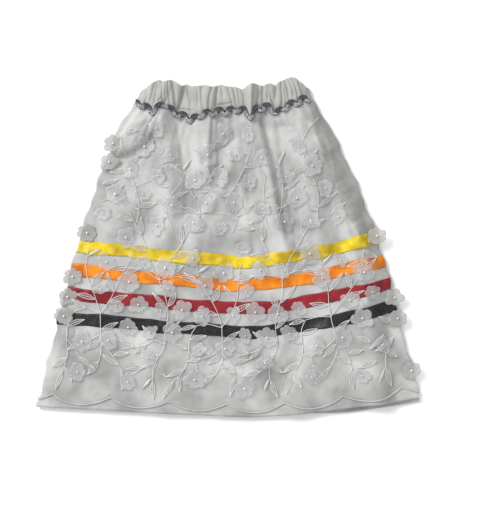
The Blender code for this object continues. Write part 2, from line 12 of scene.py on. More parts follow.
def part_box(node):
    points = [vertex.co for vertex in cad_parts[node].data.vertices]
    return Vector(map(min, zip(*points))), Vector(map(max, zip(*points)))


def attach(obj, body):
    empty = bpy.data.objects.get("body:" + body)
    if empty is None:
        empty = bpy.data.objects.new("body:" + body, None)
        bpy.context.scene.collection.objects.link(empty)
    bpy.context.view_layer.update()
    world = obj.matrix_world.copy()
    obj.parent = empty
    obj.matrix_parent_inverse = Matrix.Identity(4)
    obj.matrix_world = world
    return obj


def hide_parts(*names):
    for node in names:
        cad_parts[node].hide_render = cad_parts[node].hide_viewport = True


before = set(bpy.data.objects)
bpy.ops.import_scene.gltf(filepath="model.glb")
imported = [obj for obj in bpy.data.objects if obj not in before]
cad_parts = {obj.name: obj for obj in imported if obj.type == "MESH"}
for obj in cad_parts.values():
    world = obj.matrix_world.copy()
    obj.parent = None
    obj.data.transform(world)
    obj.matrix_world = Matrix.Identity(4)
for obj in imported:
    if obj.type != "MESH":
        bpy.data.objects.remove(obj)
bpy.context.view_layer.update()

# Camera, studio light and floor.
# The skirt was laid on a table and photographed from straight above, under a large soft light from the
# upper left with white cards round it, so the folds show but the cut-out ground stays nearly white.
CAMERA_X, CAMERA_Y, CAMERA_Z = 0.0143, -0.0085, 1.51
CAMERA_LENS = 81.8
ROOM_LIGHT = 0.60
FLOOR_TONE = (0.99, 0.99, 0.99, 1.0)
FLOOR_HALF, FLOOR_Z = 3.0, -0.0004

scene = bpy.context.scene
scene.view_settings.view_transform = "Standard"


def placed(name, data):
    """An object of the scene with this mesh, camera or lamp."""
    made = bpy.data.objects.new(name, data)
    scene.collection.objects.link(made)
    return made


camera = placed("camera_above", bpy.data.cameras.new("camera_above"))
camera.data.sensor_width = 36.0
camera.data.lens = CAMERA_LENS
camera.location = (CAMERA_X, CAMERA_Y, CAMERA_Z)
scene.camera = camera

world = bpy.data.worlds.new("white_room")
world.use_nodes = True
world.node_tree.nodes["Background"].inputs["Color"].default_value = (1.0, 1.0, 1.0, 1.0)
world.node_tree.nodes["Background"].inputs["Strength"].default_value = ROOM_LIGHT
scene.world = world


def soft_lamp(name, place, aim, side, watts):
    """A square studio lamp that faces the point aim."""
    lamp = placed(name, bpy.data.lights.new(name, "AREA"))
    lamp.data.size = side
    lamp.data.energy = watts
    lamp.location = place
    lamp.rotation_euler = (Vector(aim) - Vector(place)).to_track_quat("-Z", "Y").to_euler()


soft_lamp("window_light", (-2.7, 2.3, 2.7), (0.08, -0.05, 0.0), 1.9, 205.0)
soft_lamp("white_card", (1.0, -1.4, 1.6), (0.0, 0.0, 0.0), 1.2, 10.0)

floor_mesh = bpy.data.meshes.new("floor")
corners = ((-1, -1), (1, -1), (1, 1), (-1, 1))
floor_mesh.from_pydata([(FLOOR_HALF * x, FLOOR_HALF * y, FLOOR_Z) for x, y in corners], [], [(0, 1, 2, 3)])
floor = placed("floor", floor_mesh)
floor_paint = bpy.data.materials.new("floor_paint")
floor_paint.use_nodes = True
floor_paint.node_tree.nodes["Principled BSDF"].inputs["Base Color"].default_value = FLOOR_TONE
floor_paint.node_tree.nodes["Principled BSDF"].inputs["Roughness"].default_value = 0.9
floor_mesh.materials.append(floor_paint)

# The satin underskirt.
# White satin, two panels gathered into the waist seam, with a narrow turned hem. It is one tube that turns
# over at both side folds. Its sizes are in millimetres, a share is 0 at the waist seam and 1 at the hem,
# and a place across is -1 at the left side and 1 at the right.
MM = 0.001
PANEL_LENGTH = 392.0
HEM_MIDDLE_Y = -221.0
# The place across at which the hem hangs lowest.
LOWEST_AT = 0.1
# The outline: a share, the left side's x and how far the cloth rises there, and the same for the right.
OUTLINE = (
    (0.00, -123.5, 15.5, 105.0, 23.0),
    (0.08, -141.7, 15.8, 123.5, 26.2),
    (0.18, -157.3, 16.0, 143.0, 27.6),
    (0.33, -177.5, 18.9, 169.0, 29.3),
    (0.48, -195.0, 20.7, 190.5, 31.0),
    (0.60, -208.0, 20.0, 204.0, 32.3),
    (0.72, -219.9, 19.3, 216.0, 34.0),
    (0.85, -233.4, 17.2, 229.5, 30.0),
    (1.00, -248.3, 13.6, 248.3, 24.5),
)
# A fold or crease: its half width, how far it stands up or sinks, and the line that it follows.
FOLDS = (
    ("left puff", 13, 5.0, ((-142, 127), (-116, 146), (-92, 166))),
    ("crease below the puff", 7, -3.5, ((-158, 110), (-122, 119), (-94, 136))),
    ("left ridge", 12, 6.0, ((-90, 174), (-79, 127), (-74, 62), (-83, 16))),
    ("left valley", 9, -4.8, ((-66, 168), (-53, 107), (-46, 55))),
    ("ridge left of middle", 11, 6.8, ((-30, 166), (-29, 114), (-25, 62))),
    ("slanting middle ridge", 17, 4.5, ((14, 107), (-5, 55), (-31, 12), (-39, -32))),
    ("main ridge", 13, 9.8, ((27, 163), (43, 127), (53, 88), (62, 42), (73, -6))),
    ("valley right of the main ridge", 9, -4.6, ((69, 155), (78, 101), (85, 49), (92, -3))),
    ("right ridge", 16, 7.0, ((103, 168), (111, 114), (116, 62), (118, 3))),
    ("short middle ridge", 10, 3.5, ((30, 55), (36, 10), (43, -36))),
    ("roll along the right side", 15, 9.0,
     ((121, 176), (140, 107), (159, 55), (172, 10), (181, -49), (186, -107), (190, -162), (196, -200))),
    ("slanting ridge above the hem", 17, 7.0, ((134, -110), (110, -149), (90, -205))),
    ("trough beside it", 11, -3.0, ((96, -105), (83, -144), (61, -183))),
    ("hanging crease", 6, -3.0, ((-38, -118), (1, -136), (23, -148), (51, -133))),
    ("swell below the crease", 20, 4.0, ((-18, -162), (27, -170))),
    ("lower left ridge", 14, 4.0, ((-207, -114), (-168, -136), (-144, -162))),
    ("swell above the hem", 22, 4.0, ((-103, -133), (-83, -198))),
    ("left swell", 25, 3.5, ((-129, 81), (-148, 10))),
)
CREASES = (
    ("sharp crease below the puff", 4.5, -2.8, ((-158, 113), (-130, 119), (-108, 131), (-94, 150))),
    ("puff's upper wrinkle", 5, 2.0, ((-142, 140), (-122, 158), (-112, 166))),
    ("puff's dimple", 6, -1.8, ((-103, 160), (-99, 148))),
    ("narrow ridge left of middle", 5, 3.2, ((-43, 160), (-41, 106), (-38, 62))),
    ("slanting trough", 6, -3.0, ((4, 142), (-30, 112))),
    ("slanting ridge", 7, 3.2, ((4, 114), (-9, 75), (-36, 36), (-50, -16))),
    ("ridge down the middle", 5, 2.6, ((18, 75), (23, 23), (27, -19))),
    ("sharp valley by the main ridge", 4.5, -4.2, ((43, 166), (57, 114), (66, 62), (77, 14))),
    ("cross wrinkle, upper", 2.8, -1.9, ((45, 158), (62, 155), (84, 157))),
    ("cross wrinkle, lower", 2.8, -1.8, ((50, 151), (70, 147), (86, 150))),
    ("crest of the right ridge", 6, 2.4, ((92, 166), (99, 110), (101, 40), (98, -20))),
    ("inner edge of the roll", 6, 5.4,
     ((108, 160), (123, 111), (140, 62), (156, 10), (168, -34), (176, -72))),
    ("left edge dimple, high", 8, -1.2, ((-157, 92), (-154, 76))),
    ("left dimple", 8, -1.8, ((-137, 66), (-131, 58))),
    ("left wide dimple", 10, -2.0, ((-150, 6), (-132, 3))),
    ("dimple left of middle", 9, -2.0, ((-86, -8), (-66, -14))),
    ("dimple right of middle", 7, -1.2, ((52, -12), (66, -10))),
    ("left cross ridge", 6, 1.8, ((-128, 96), (-104, 84), (-92, 62))),
    ("hanging crease, sharp", 5.0, -4.6, ((-18, -124), (4, -141), (21, -153), (42, -144), (56, -131))),
    ("lip under the hanging crease", 8, 3.8, ((-22, -136), (4, -153), (22, -164), (46, -154))),
    ("slanting valley, sharp", 6, -4.2, ((92, -108), (79, -157), (60, -200))),
    ("slanting ridge beside it", 8, 3.4, ((118, -108), (99, -152), (80, -192))),
    ("trough inside the roll", 4.5, -2.4, ((171, -60), (176, -110), (178, -170))),
    ("crest of the roll, low", 6, 1.4, ((196, -100), (202, -150), (206, -195))),
    ("ridge low on the left", 8, 2.2, ((-220, -108), (-190, -140), (-168, -162))),
    ("ridge low left of middle", 9, 2.2, ((-102, -120), (-72, -144), (-48, -162))),
    ("trough low on the left", 6, -1.2, ((-186, -112), (-160, -132))),
    ("dimple above the hem", 8, -1.1, ((120, -176), (150, -170))),
    ("small ridge above the hem", 5, 0.9, ((-40, -186), (10, -196))),
    ("small fold at the left hem", 5, 1.1, ((-216, -178), (-192, -202))),
)
BACK_CREASES = (
    ("long lift, left", 14, 1.3, ((-96, 160), (-112, 60), (-124, -60), (-132, -190))),
    ("long lift, middle", 12, 1.1, ((-12, 160), (-6, 60), (8, -70), (4, -200))),
    ("long lift, right", 13, 1.4, ((84, 168), (104, 70), (126, -40), (150, -180))),
    ("slanting lift, left", 9, 0.9, ((-160, 40), (-110, 8), (-60, -8))),
    ("slanting lift, right", 9, 0.9, ((60, 20), (110, -20), (170, -30))),
    ("low lift", 12, 1.0, ((-70, -150), (-20, -172), (50, -160))),
    ("waist lift, left", 6, 0.9, ((-62, 168), (-66, 110))),
    ("waist lift, right", 6, 0.9, ((40, 168), (48, 104))),
)
# How far the gathered waist seam strays up and down from its even line: across, and how far up.
SEAM_SWAY = (
    (-1.0, 0.0), (-0.92, 1.5), (-0.79, -7.0), (-0.655, 5.0), (-0.56, -3.0), (-0.34, -10.5), (-0.20, -1.5),
    (-0.02, 4.5), (0.17, 7.5), (0.26, 5.0), (0.325, -6.0), (0.40, 6.0), (0.54, 3.0), (0.62, -7.0),
    (0.72, -1.5), (0.85, 1.0), (1.0, 0.5),
)
SWAY_FADE = 0.10
# How far lumps of the lace push the side folds in and out, and how many lie along a side.
SIDE_LUMP, SIDE_LUMPS = 2.1, 6.5
# How many gathers the waist seam has on a side.
GATHERS = 24
# The front satin's floor, how far a fold may dip under it, and how softly a dip ends there.
FRONT_FLOOR, DEEPEST_DIP, DIP_SOFTNESS = 4.5, 0.7, 0.6
# The front satin's upper side off its deepest dip, and the back satin's lower side off the table.
SATIN_FRONT, SATIN_BACK, SATIN_THICK = 1.9, 2.3, 0.5
# How far the front stands up, how much more at the waist, and the share over which that fades.
PANEL_LOFT, WAIST_LOFT, LOFT_FADE = 1.2, 2.6, 0.18
# How far in from the side folds the folds, the fine creases and the back's lifts reach their full height.
LEFT_FALL, RIGHT_FALL = 10.0, 21.0
FINE_FALLS, BACK_FALL = (7.0, 9.0), 14.0
# How far the back's hem hangs lower, and the shares and places across over which that comes in.
BACK_HEM_DROP, DROP_BEGINS, DROP_OVER = 5.0, (0.85, 0.35), (0.15, 0.3)
# The flat cloth's width in one panel and in the turn over a side fold.
FLAT_WIDTH, FLAT_TURN = 530.0, 8.0
TURN_STEPS, CLOTH_BULGE = 5, 1.1


def through(at, table, column):
    """A smooth curve through one column of a table whose first column is the place."""
    rows = np.array(table, float)
    places, values = rows[:, 0], rows[:, column]
    slopes = np.gradient(values, places)
    at = np.asarray(at, float)
    i = np.clip(np.searchsorted(places, at) - 1, 0, len(places) - 2)
    step = places[i + 1] - places[i]
    t = (at - places[i]) / step
    return (values[i] * (1 + 2 * t) * (1 - t) ** 2 + slopes[i] * step * t * (1 - t) ** 2
            + values[i + 1] * t * t * (3 - 2 * t) + slopes[i + 1] * step * t * t * (t - 1))


def smooth(t):
    t = np.clip(t, 0, 1)
    return t * t * (3 - 2 * t)


def plan(across, share):
    """The place on the table of a point of a panel."""
    left, right = through(share, OUTLINE, 1), through(share, OUTLINE, 3)
    from_left = np.clip((LOWEST_AT - across) / (1 + LOWEST_AT), 0, 2)
    from_right = np.clip((across - LOWEST_AT) / (1 - LOWEST_AT), 0, 2)
    rise = through(share, OUTLINE, 2) * from_left ** 1.15 + through(share, OUTLINE, 4) * from_right ** 1.5
    middle = HEM_MIDDLE_Y + PANEL_LENGTH * (1 - share)
    sway = np.interp(across, *zip(*SEAM_SWAY)) * (1 - smooth(share / SWAY_FADE))
    turn = 2 * math.pi * SIDE_LUMPS * share + 2 * np.sign(across)
    lump = SIDE_LUMP * (0.6 * np.sin(turn) + 0.4 * np.sin(2.3 * turn + 1)) * across * np.abs(across) ** 6
    return left + (right - left) * (across + 1) / 2 + lump, middle + rise + sway


def across_at(x, share):
    left, right = through(share, OUTLINE, 1), through(share, OUTLINE, 3)
    return 2 * (x - left) / (right - left) - 1


def distance_to_line(x, y, points):
    nearest = np.full(np.shape(x), np.inf)
    for (x0, y0), (x1, y1) in zip(points, points[1:]):
        dx, dy = x1 - x0, y1 - y0
        t = np.clip(((x - x0) * dx + (y - y0) * dy) / (dx * dx + dy * dy), 0, 1)
        nearest = np.minimum(nearest, np.hypot(x - x0 - t * dx, y - y0 - t * dy))
    return nearest


def folded(x, y, table):
    """The height that a table of soft ridges and troughs adds at a place."""
    height = np.zeros(np.shape(x))
    for _, half_width, rise, points in table:
        height = height + rise * np.exp(-(distance_to_line(x, y, points) / half_width) ** 2)
    return height


def side_fade(across, share, left_fall, right_fall, straight=False):
    """From 0 at both side folds to 1 further in, and straight down to the right fold where asked."""
    half = (through(share, OUTLINE, 3) - through(share, OUTLINE, 1)) / 2
    from_right = (1 - across) * half / right_fall
    right = np.clip(from_right, 0, 1) if straight else smooth(from_right)
    return smooth((across + 1) * half / left_fall) * right


def gather_phase(across):
    return GATHERS * (across + 1) / 2 + 0.28 * np.sin(7.3 * across) + 0.22 * np.sin(17.9 * across + 1)


def waist_pleats(across, share):
    """Small pleats that run down from the waist's stitching and die out at different lengths."""
    turn = gather_phase(across)
    strength = 0.65 + 0.35 * np.sin(1.9 * turn + 0.5)
    reach = 0.15 + 0.07 * np.sin(1.27 * turn + 2.0)
    return 0.9 * strength * np.cos(2 * math.pi * turn) * np.exp(-(share / reach) ** 1.6)


def limp(x, y):
    """The uneven lie of limp satin, a few tenths of a millimetre."""
    return (0.40 * np.sin(x / 7.1 + 1.3 * np.sin(y / 17.0)) * np.sin(y / 11.3 + 0.7 * np.sin(x / 23.0))
            + 0.26 * np.sin(x / 13.7 - y / 9.1 + 2.0) + 0.16 * np.sin(x / 5.3 + y / 6.7 + np.sin(y / 31.0)))


def side_crumples(across, share):
    """Short wrinkles across the shaded strip between the roll and the right side fold."""
    x, y = plan(across, share)
    strip = np.exp(-((across - 0.90) / 0.07) ** 2) * smooth((0.62 - share) / 0.1)
    broad = 0.75 * np.sin(y / 2.9 + 1.5 * np.sin(x / 4.7) + x / 9.0)
    return strip * (broad + 0.45 * np.sin(y / 1.7 - x / 3.1))


def satin_front(across, share):
    """The height of the front satin's upper side."""
    x, y = plan(across, share)
    loft = PANEL_LOFT + WAIST_LOFT * np.exp(-(share / LOFT_FADE) ** 2) + folded(x, y, FOLDS)
    fine = folded(x, y, CREASES) + waist_pleats(across, share) + limp(x, y) + side_crumples(across, share)
    folds = (np.maximum(loft, 0) * side_fade(across, share, LEFT_FALL, RIGHT_FALL, True)
             + fine * side_fade(across, share, *FINE_FALLS))
    above_lowest = folds + DEEPEST_DIP
    held_up = (above_lowest + np.sqrt(above_lowest ** 2 + DIP_SOFTNESS)) / 2
    return FRONT_FLOOR + SATIN_FRONT - DEEPEST_DIP + held_up


def back_lift(across, share):
    """How far the back is lifted off the table by its own soft folds."""
    x, y = plan(across, share)
    lift = folded(x, y, BACK_CREASES) + 0.25 * (1 + np.sin(x / 14.0 + np.sin(y / 26.0)) * np.sin(y / 19.0))
    return lift * side_fade(across, share, BACK_FALL, BACK_FALL)


def satin_back(across, share):
    """The height of the back satin's lower side."""
    return SATIN_BACK + back_lift(across, share)


def columns_of(front_count, back_count):
    return np.linspace(-1, 1, front_count), np.linspace(1, -1, back_count)


def moved_out(by, front=satin_front, back=satin_back):
    """The heights of a front and a back that lie further out from the skirt's inside by a distance."""
    return lambda a, s: front(a, s) + by, lambda a, s: back(a, s) - by


def side_turn(begin, end, out, bulge):
    """Columns of points over a side fold, from one layer's edge to the other's, bulging outwards."""
    made = []
    for angle in np.linspace(0, math.pi, TURN_STEPS + 2)[1:-1]:
        way = (1 - math.cos(angle)) / 2
        point = begin * (1 - way) + end * way
        reach = bulge * np.abs(begin[:, 2] - end[:, 2]) / 2 * math.sin(angle)
        point[:, :2] += out * reach[:, None]
        made.append(point)
    return np.stack(made, axis=1)


def cloth_rows(front_share, back_share, heights, columns):
    """Points of a cloth that goes round the skirt, row by row: front, right fold, back, left fold.

    A share is a table of rows by columns. Also gives the points' places on the flat cloth."""
    (front_height, back_height), (front_a, back_a) = heights, columns
    top = [*plan(front_a[None], front_share), front_height(front_a[None] + 0 * front_share, front_share)]
    low = [*plan(back_a[None], back_share), back_height(back_a[None] + 0 * back_share, back_share)]
    drop = BACK_HEM_DROP
    for at, begins, over in zip((back_share, back_a[None]), DROP_BEGINS, DROP_OVER):
        drop = drop * smooth((at - begins) / over)
    low[1] = low[1] - drop
    front, back = np.stack(top, axis=2), np.stack(low, axis=2)
    turns = []
    for side, begin, end in ((1, front[:, -1], back[:, 0]), (-1, back[:, -1], front[:, 0])):
        share = (front_share[:, -1] + back_share[:, 0]) / 2
        edge, inward = np.stack(plan(1.0 * side, share), 1), np.stack(plan(0.96 * side, share), 1)
        out = (edge - inward) / np.linalg.norm(edge - inward, axis=1)[:, None]
        turns.append(side_turn(begin, end, out, CLOTH_BULGE))
    points = np.concatenate([front, turns[0], back, turns[1]], axis=1)
    turn = np.linspace(0, FLAT_TURN, TURN_STEPS + 2)[1:-1]
    back_begins = FLAT_WIDTH + FLAT_TURN
    flat = np.concatenate([(front_a + 1) / 2 * FLAT_WIDTH, FLAT_WIDTH + turn,
                           back_begins + (1 - back_a) / 2 * FLAT_WIDTH,
                           back_begins + FLAT_WIDTH + turn, [2 * back_begins]])
    shares = np.concatenate([front_share, np.repeat(front_share[:, -1:], TURN_STEPS, 1), back_share,
                             np.repeat(front_share[:, :1], TURN_STEPS + 1, 1)], axis=1)
    return points, np.stack([flat[None] + 0 * shares, -PANEL_LENGTH * shares], axis=2)


def new_piece(name, mesh, material):
    mesh.materials.clear()
    mesh.materials.append(material)
    mesh.shade_smooth()
    return placed(name, mesh)


def round_cloth(name, outer, inner, flat, material):
    """A closed cloth wall round the skirt from its outer and inner points, hemmed at both ends."""
    rows, loop = outer.shape[:2]
    count = rows * loop
    r, c = np.meshgrid(np.arange(rows - 1), np.arange(loop), indexing="ij")
    d = (c + 1) % loop
    upper, under = r * loop, (r + 1) * loop
    quad = np.stack([upper + c, under + c, under + d, upper + d], axis=2).reshape(-1, 4)
    upper, under = r * (loop + 1) + c, (r + 1) * (loop + 1) + c
    place = np.stack([upper, under, under + 1, upper + 1], axis=2).reshape(-1, 4)
    i = np.arange(loop)
    j = (i + 1) % loop
    end = (rows - 1) * loop
    rim = [np.stack([i, j, count + j, count + i], 1),
           np.stack([end + j, end + i, count + end + i, count + end + j], 1)]
    foot = (rows - 1) * (loop + 1)
    rim_place = [np.stack([i, i + 1, i + 1, i], 1),
                 np.stack([foot + i + 1, foot + i, foot + i, foot + i + 1], 1)]
    faces = np.concatenate([quad, count + quad[:, ::-1], *rim])
    places = np.concatenate([place, place[:, ::-1], *rim_place])
    points = np.concatenate([outer.reshape(-1, 3), inner.reshape(-1, 3)]) * MM
    mesh = bpy.data.meshes.new(name)
    mesh.from_pydata(points.tolist(), [], faces.tolist())
    flat_places = flat.reshape(-1, 2)[places.reshape(-1)] * MM
    mesh.uv_layers.new(name="cloth").data.foreach_set("uv", flat_places.astype(np.float32).reshape(-1))
    mesh.validate()
    return new_piece(name, mesh, material)


def walled(name, shares, heights, thick, columns, material):
    """A cloth wall of a thickness under these heights of its outer side, and that side's points."""
    outer, flat = cloth_rows(*shares, heights, columns)
    inner, _ = cloth_rows(*shares, moved_out(-thick, *heights), columns)
    return round_cloth(name, outer, inner, flat, material), outer


def node(tree, kind, inputs=None, **settings):
    """A node of a tree, with its settings, and its inputs set to a value or linked to a socket."""
    made = tree.nodes.new(kind)
    for key, value in settings.items():
        setattr(made, key, value)
    for key, value in (inputs or {}).items():
        if isinstance(value, bpy.types.NodeSocket):
            tree.links.new(value, made.inputs[key])
        else:
            made.inputs[key].default_value = value
    return made


def math_of(tree, operation, *values):
    return node(tree, "ShaderNodeMath", dict(enumerate(values)), operation=operation).outputs[0]


def new_finish(name, roughness, **sockets):
    """A material, its tree and its shader. Names of sockets are given with _ for a space."""
    material = bpy.data.materials.new(name)
    material.use_nodes = True
    shader = material.node_tree.nodes["Principled BSDF"]
    shader.inputs["Roughness"].default_value = roughness
    for key, value in sockets.items():
        shader.inputs[key.replace("_", " ")].default_value = value
    return material, material.node_tree, shader


def noise_of(tree, scale, detail):
    """Noise that stays on the object, from 0 to 1."""
    place = node(tree, "ShaderNodeTexCoord").outputs["Object"]
    noise = node(tree, "ShaderNodeTexNoise", {"Vector": place, "Scale": scale, "Detail": detail})
    return noise.outputs["Fac"]


def ranged(tree, value, begin, end, low=0.0, high=1.0):
    """A value spread from one range to another, and held within it."""
    return node(tree, "ShaderNodeMapRange", {"Value": value, "From Min": begin, "From Max": end,
                                             "To Min": low, "To Max": high}).outputs["Result"]


def flat_cloth(tree):
    return node(tree, "ShaderNodeUVMap", uv_map="cloth").outputs["UV"]


def tinted(tree, shader, way, dark, light):
    """Colours a shader between two tones."""
    tint = node(tree, "ShaderNodeMix", {"Factor": way, 6: (*dark, 1.0), 7: (*light, 1.0)}, data_type="RGBA")
    tree.links.new(tint.outputs[2], shader.inputs["Base Color"])
    return tint.outputs[2]


def thread_waves(tree, across, along):
    """Crossing threads of a weave on the flat cloth, from 0 to 1. Pitches are in metres."""
    share = 0.0
    for pitch, way, part in ((across, "X", 0.62), (along, "Y", 0.38)):
        wave = node(tree, "ShaderNodeTexWave", {"Vector": flat_cloth(tree), "Scale": 0.314 / pitch,
                                                "Distortion": 0.6, "Detail": 1.0}, bands_direction=way)
        share = math_of(tree, "MULTIPLY_ADD", wave.outputs["Fac"], part, share)
    return share


def mottled(tree, shader, dark, light, patch):
    """Colours a shader between two close tones, in soft patches of a size in metres."""
    way = ranged(tree, noise_of(tree, 1 / patch, 3.0), 0.35, 0.65)
    return way, tinted(tree, shader, way, dark, light)


def raised(tree, shader, height, depth, strength=0.6):
    bump = node(tree, "ShaderNodeBump", {"Height": height, "Distance": depth, "Strength": strength})
    tree.links.new(bump.outputs["Normal"], shader.inputs["Normal"])


# The strip on the flat cloth outside the roll where shade is painted into the satin's colour, in metres: how
# far its inner limit swings in and out, between which places it begins at that limit, ends at the side fold
# and dies out below, and the painted shade's tone.
STRIP_SWING, STRIP_WAVE, STRIP_PHASE = -0.0125, -32.0, 0.415
STRIP_INNER, STRIP_FOLD, STRIP_LOW = (0.5065, 0.5105), (0.546, 0.536), (-0.30, -0.23)
STRIP_PAINTED_SHADE = (0.73, 0.73, 0.70, 1.0)
# The satin's rumples and slubs to a metre, and the pitches of its threads across and along.
RUMPLES, SLUBS, SATIN_THREADS = 95.0, 420.0, (0.0009, 0.0016)


def painted_shade_strip(tree, rumple, grain):
    """Where shade is painted into the satin's colour: the strip outside the roll, where the cloth turns from
    the window.
    """
    flat = node(tree, "ShaderNodeSeparateXYZ", {"Vector": flat_cloth(tree)})
    across, along = flat.outputs["X"], flat.outputs["Y"]
    swing = math_of(tree, "SINE", math_of(tree, "MULTIPLY_ADD", along, STRIP_WAVE, STRIP_PHASE))
    inner = math_of(tree, "MULTIPLY_ADD", swing, STRIP_SWING, across)
    inner = math_of(tree, "MULTIPLY_ADD", rumple, 0.008, inner)
    share = math_of(tree, "ADD", grain, 0.4)
    for value, limits in ((inner, STRIP_INNER), (across, STRIP_FOLD), (along, STRIP_LOW)):
        share = math_of(tree, "MULTIPLY", share, ranged(tree, value, *limits))
    return share


def satin_finish(name, dark, light, roughness=0.50, sheen=0.10, tone_and_sheen_patch=0.045):
    """Satin: fine floats along the cloth, a soft sheen, small rumples, colour patches of random tone and
    painted sheen and shade, and painted shade outside the roll.
    """
    material, tree, shader = new_finish(name, roughness, Sheen_Weight=sheen, Sheen_Roughness=0.35,
                                        Specular_IOR_Level=0.32)
    patch, colour = mottled(tree, shader, dark, light, tone_and_sheen_patch)
    rumple, slub = noise_of(tree, RUMPLES, 4.0), noise_of(tree, SLUBS, 2.0)
    relief = math_of(tree, "MULTIPLY_ADD", slub, 0.15, rumple)
    relief = math_of(tree, "MULTIPLY_ADD", thread_waves(tree, *SATIN_THREADS), 0.10, relief)
    raised(tree, shader, relief, 0.0013, 0.65)
    # Painted shade: the colour is multiplied by the painted shade's tone on the strip outside the roll.
    strip = node(tree, "ShaderNodeMix", {"Factor": painted_shade_strip(tree, rumple, slub), 6: colour, 7: STRIP_PAINTED_SHADE},
                 data_type="RGBA", blend_type="MULTIPLY")
    tree.links.new(strip.outputs[2], shader.inputs["Base Color"])
    gloss = ranged(tree, patch, 0.0, 1.0, roughness - 0.06, roughness + 0.10)
    tree.links.new(gloss, shader.inputs["Roughness"])
    return material


SATIN_ROWS, SATIN_FRONT_COLUMNS, SATIN_BACK_COLUMNS = 150, 176, 70
# The satin's colour moves between these two tones in broad patches: partly random tone, partly painted sheen
# and shade of its crumples.
white_satin = satin_finish("white_satin", (0.300, 0.301, 0.295), (0.525, 0.527, 0.517))
satin_columns = columns_of(SATIN_FRONT_COLUMNS, SATIN_BACK_COLUMNS)
satin_shares = [np.linspace(0, 1, SATIN_ROWS)[:, None] + 0 * places[None] for places in satin_columns]
underskirt, _ = walled("satin_underskirt", satin_shares, (satin_front, satin_back), SATIN_THICK,
                       satin_columns, white_satin)
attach(underskirt, "root")
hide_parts("underskirt_front", "underskirt_back")

# The hem's stitching and the ribbons' edge stitching.
# A line of small machine stitches in thread of the cloth's own colour, 8 mm above the hem's fold and 1.3 mm
# inside each ribbon's edges. Each stitch is a short thread that dips into the cloth at its ends.
STITCH_SPACE, STITCH_LONG, STITCH_THICK = 3.2, 2.3, 0.42
HEM_DEPTH, HEM_STITCH_OUT = 8.0, 0.08


def geometry_tree(name, sizes):
    """An empty Geometry Nodes tree whose named sizes are given as name, kind of socket and value."""
    tree = bpy.data.node_groups.new(name, "GeometryNodeTree")
    tree.interface.new_socket("Geometry", in_out="INPUT", socket_type="NodeSocketGeometry")
    for label, kind, value in sizes:
        socket = tree.interface.new_socket(label, in_out="INPUT", socket_type=kind)
        if value is not None:
            socket.default_value = value
    tree.interface.new_socket("Geometry", in_out="OUTPUT", socket_type="NodeSocketGeometry")
    return tree, tree.nodes.new("NodeGroupInput"), tree.nodes.new("NodeGroupOutput")


def end_tree(tree, last, start, end):
    """Ends a tree with smooth shading, real copies and the material that it was given."""
    soft = node(tree, "GeometryNodeSetShadeSmooth", {"Geometry": last})
    real = node(tree, "GeometryNodeRealizeInstances", {"Geometry": soft.outputs["Geometry"]})
    painted = node(tree, "GeometryNodeSetMaterial", {"Geometry": real.outputs["Geometry"],
                                                     "Material": start.outputs["Material"]})
    tree.links.new(painted.outputs["Geometry"], end.inputs["Geometry"])


def grown(name, source, tree, values):
    """What a tree makes of a source object, as a plain mesh piece of its own. The source is used up."""
    modifier = source.modifiers.new("grow", "NODES")
    modifier.node_group = tree
    for item in tree.interface.items_tree:
        if item.item_type == "SOCKET" and item.in_out == "INPUT" and item.name in values:
            modifier[item.identifier] = values[item.name]
    bpy.context.view_layer.update()
    graph = bpy.context.evaluated_depsgraph_get()
    mesh = bpy.data.meshes.new_from_object(source.evaluated_get(graph), preserve_all_data_layers=True,
                                           depsgraph=graph)
    source.modifiers.remove(modifier)
    mesh.name = name
    piece = placed(name, mesh)
    bpy.data.objects.remove(source)
    return piece


def mark_points(mesh, mark, values, kind="FLOAT"):
    """Gives each point of a mesh a number under a name."""
    layer = mesh.attributes.new(mark, kind, "POINT")
    layer.data.foreach_set("value", np.asarray(values, np.float32 if kind == "FLOAT" else np.int32))


def lines_object(name, lines, **marks):
    """A mesh of open lines, each an array of points in millimetres, with a number for each point."""
    points = np.concatenate(lines)
    edges, first = [], 0
    for line in lines:
        edges += [(first + k, first + k + 1) for k in range(len(line) - 1)]
        first += len(line)
    mesh = bpy.data.meshes.new(name)
    mesh.from_pydata((points * MM).tolist(), edges, [])
    for mark, values in marks.items():
        mark_points(mesh, mark, np.concatenate(values))
    return placed(name, mesh)


def stitch_tree():
    """Sets a small rounded stitch at even spaces along lines, in line with them."""
    tree, start, end = geometry_tree("stitches along a line", (
        ("Space", "NodeSocketFloat", STITCH_SPACE * MM), ("Long", "NodeSocketFloat", STITCH_LONG * MM),
        ("Thick", "NodeSocketFloat", STITCH_THICK * MM), ("Material", "NodeSocketMaterial", None)))
    line = node(tree, "GeometryNodeMeshToCurve", {"Mesh": start.outputs["Geometry"]})
    spots = node(tree, "GeometryNodeCurveToPoints", {"Curve": line.outputs["Curve"],
                                                     "Length": start.outputs["Space"]}, mode="LENGTH")
    bead = node(tree, "GeometryNodeMeshIcoSphere", {"Radius": 0.5, "Subdivisions": 1})
    shape = node(tree, "ShaderNodeCombineXYZ", {"X": start.outputs["Thick"], "Y": start.outputs["Thick"],
                                                "Z": start.outputs["Long"]})
    along = node(tree, "FunctionNodeAlignEulerToVector", {"Vector": spots.outputs["Tangent"]}, axis="Z")
    sewn = node(tree, "GeometryNodeInstanceOnPoints", {
        "Points": spots.outputs["Points"], "Instance": bead.outputs["Mesh"],
        "Rotation": along.outputs["Rotation"], "Scale": shape.outputs["Vector"]})
    end_tree(tree, sewn.outputs["Instances"], start, end)
    return tree


def thread_finish(name, colour):
    """Sewing thread: a plain colour with the twist of its plies."""
    material, tree, shader = new_finish(name, 0.5, Sheen_Weight=0.3)
    mottled(tree, shader, tuple(0.86 * c for c in colour), colour, 0.006)
    place = node(tree, "ShaderNodeTexCoord").outputs["Object"]
    twist = node(tree, "ShaderNodeTexWave", {"Vector": place, "Scale": 900.0, "Distortion": 2.0},
                 bands_direction="DIAGONAL").outputs["Fac"]
    raised(tree, shader, twist, 0.0001, 0.5)
    return material


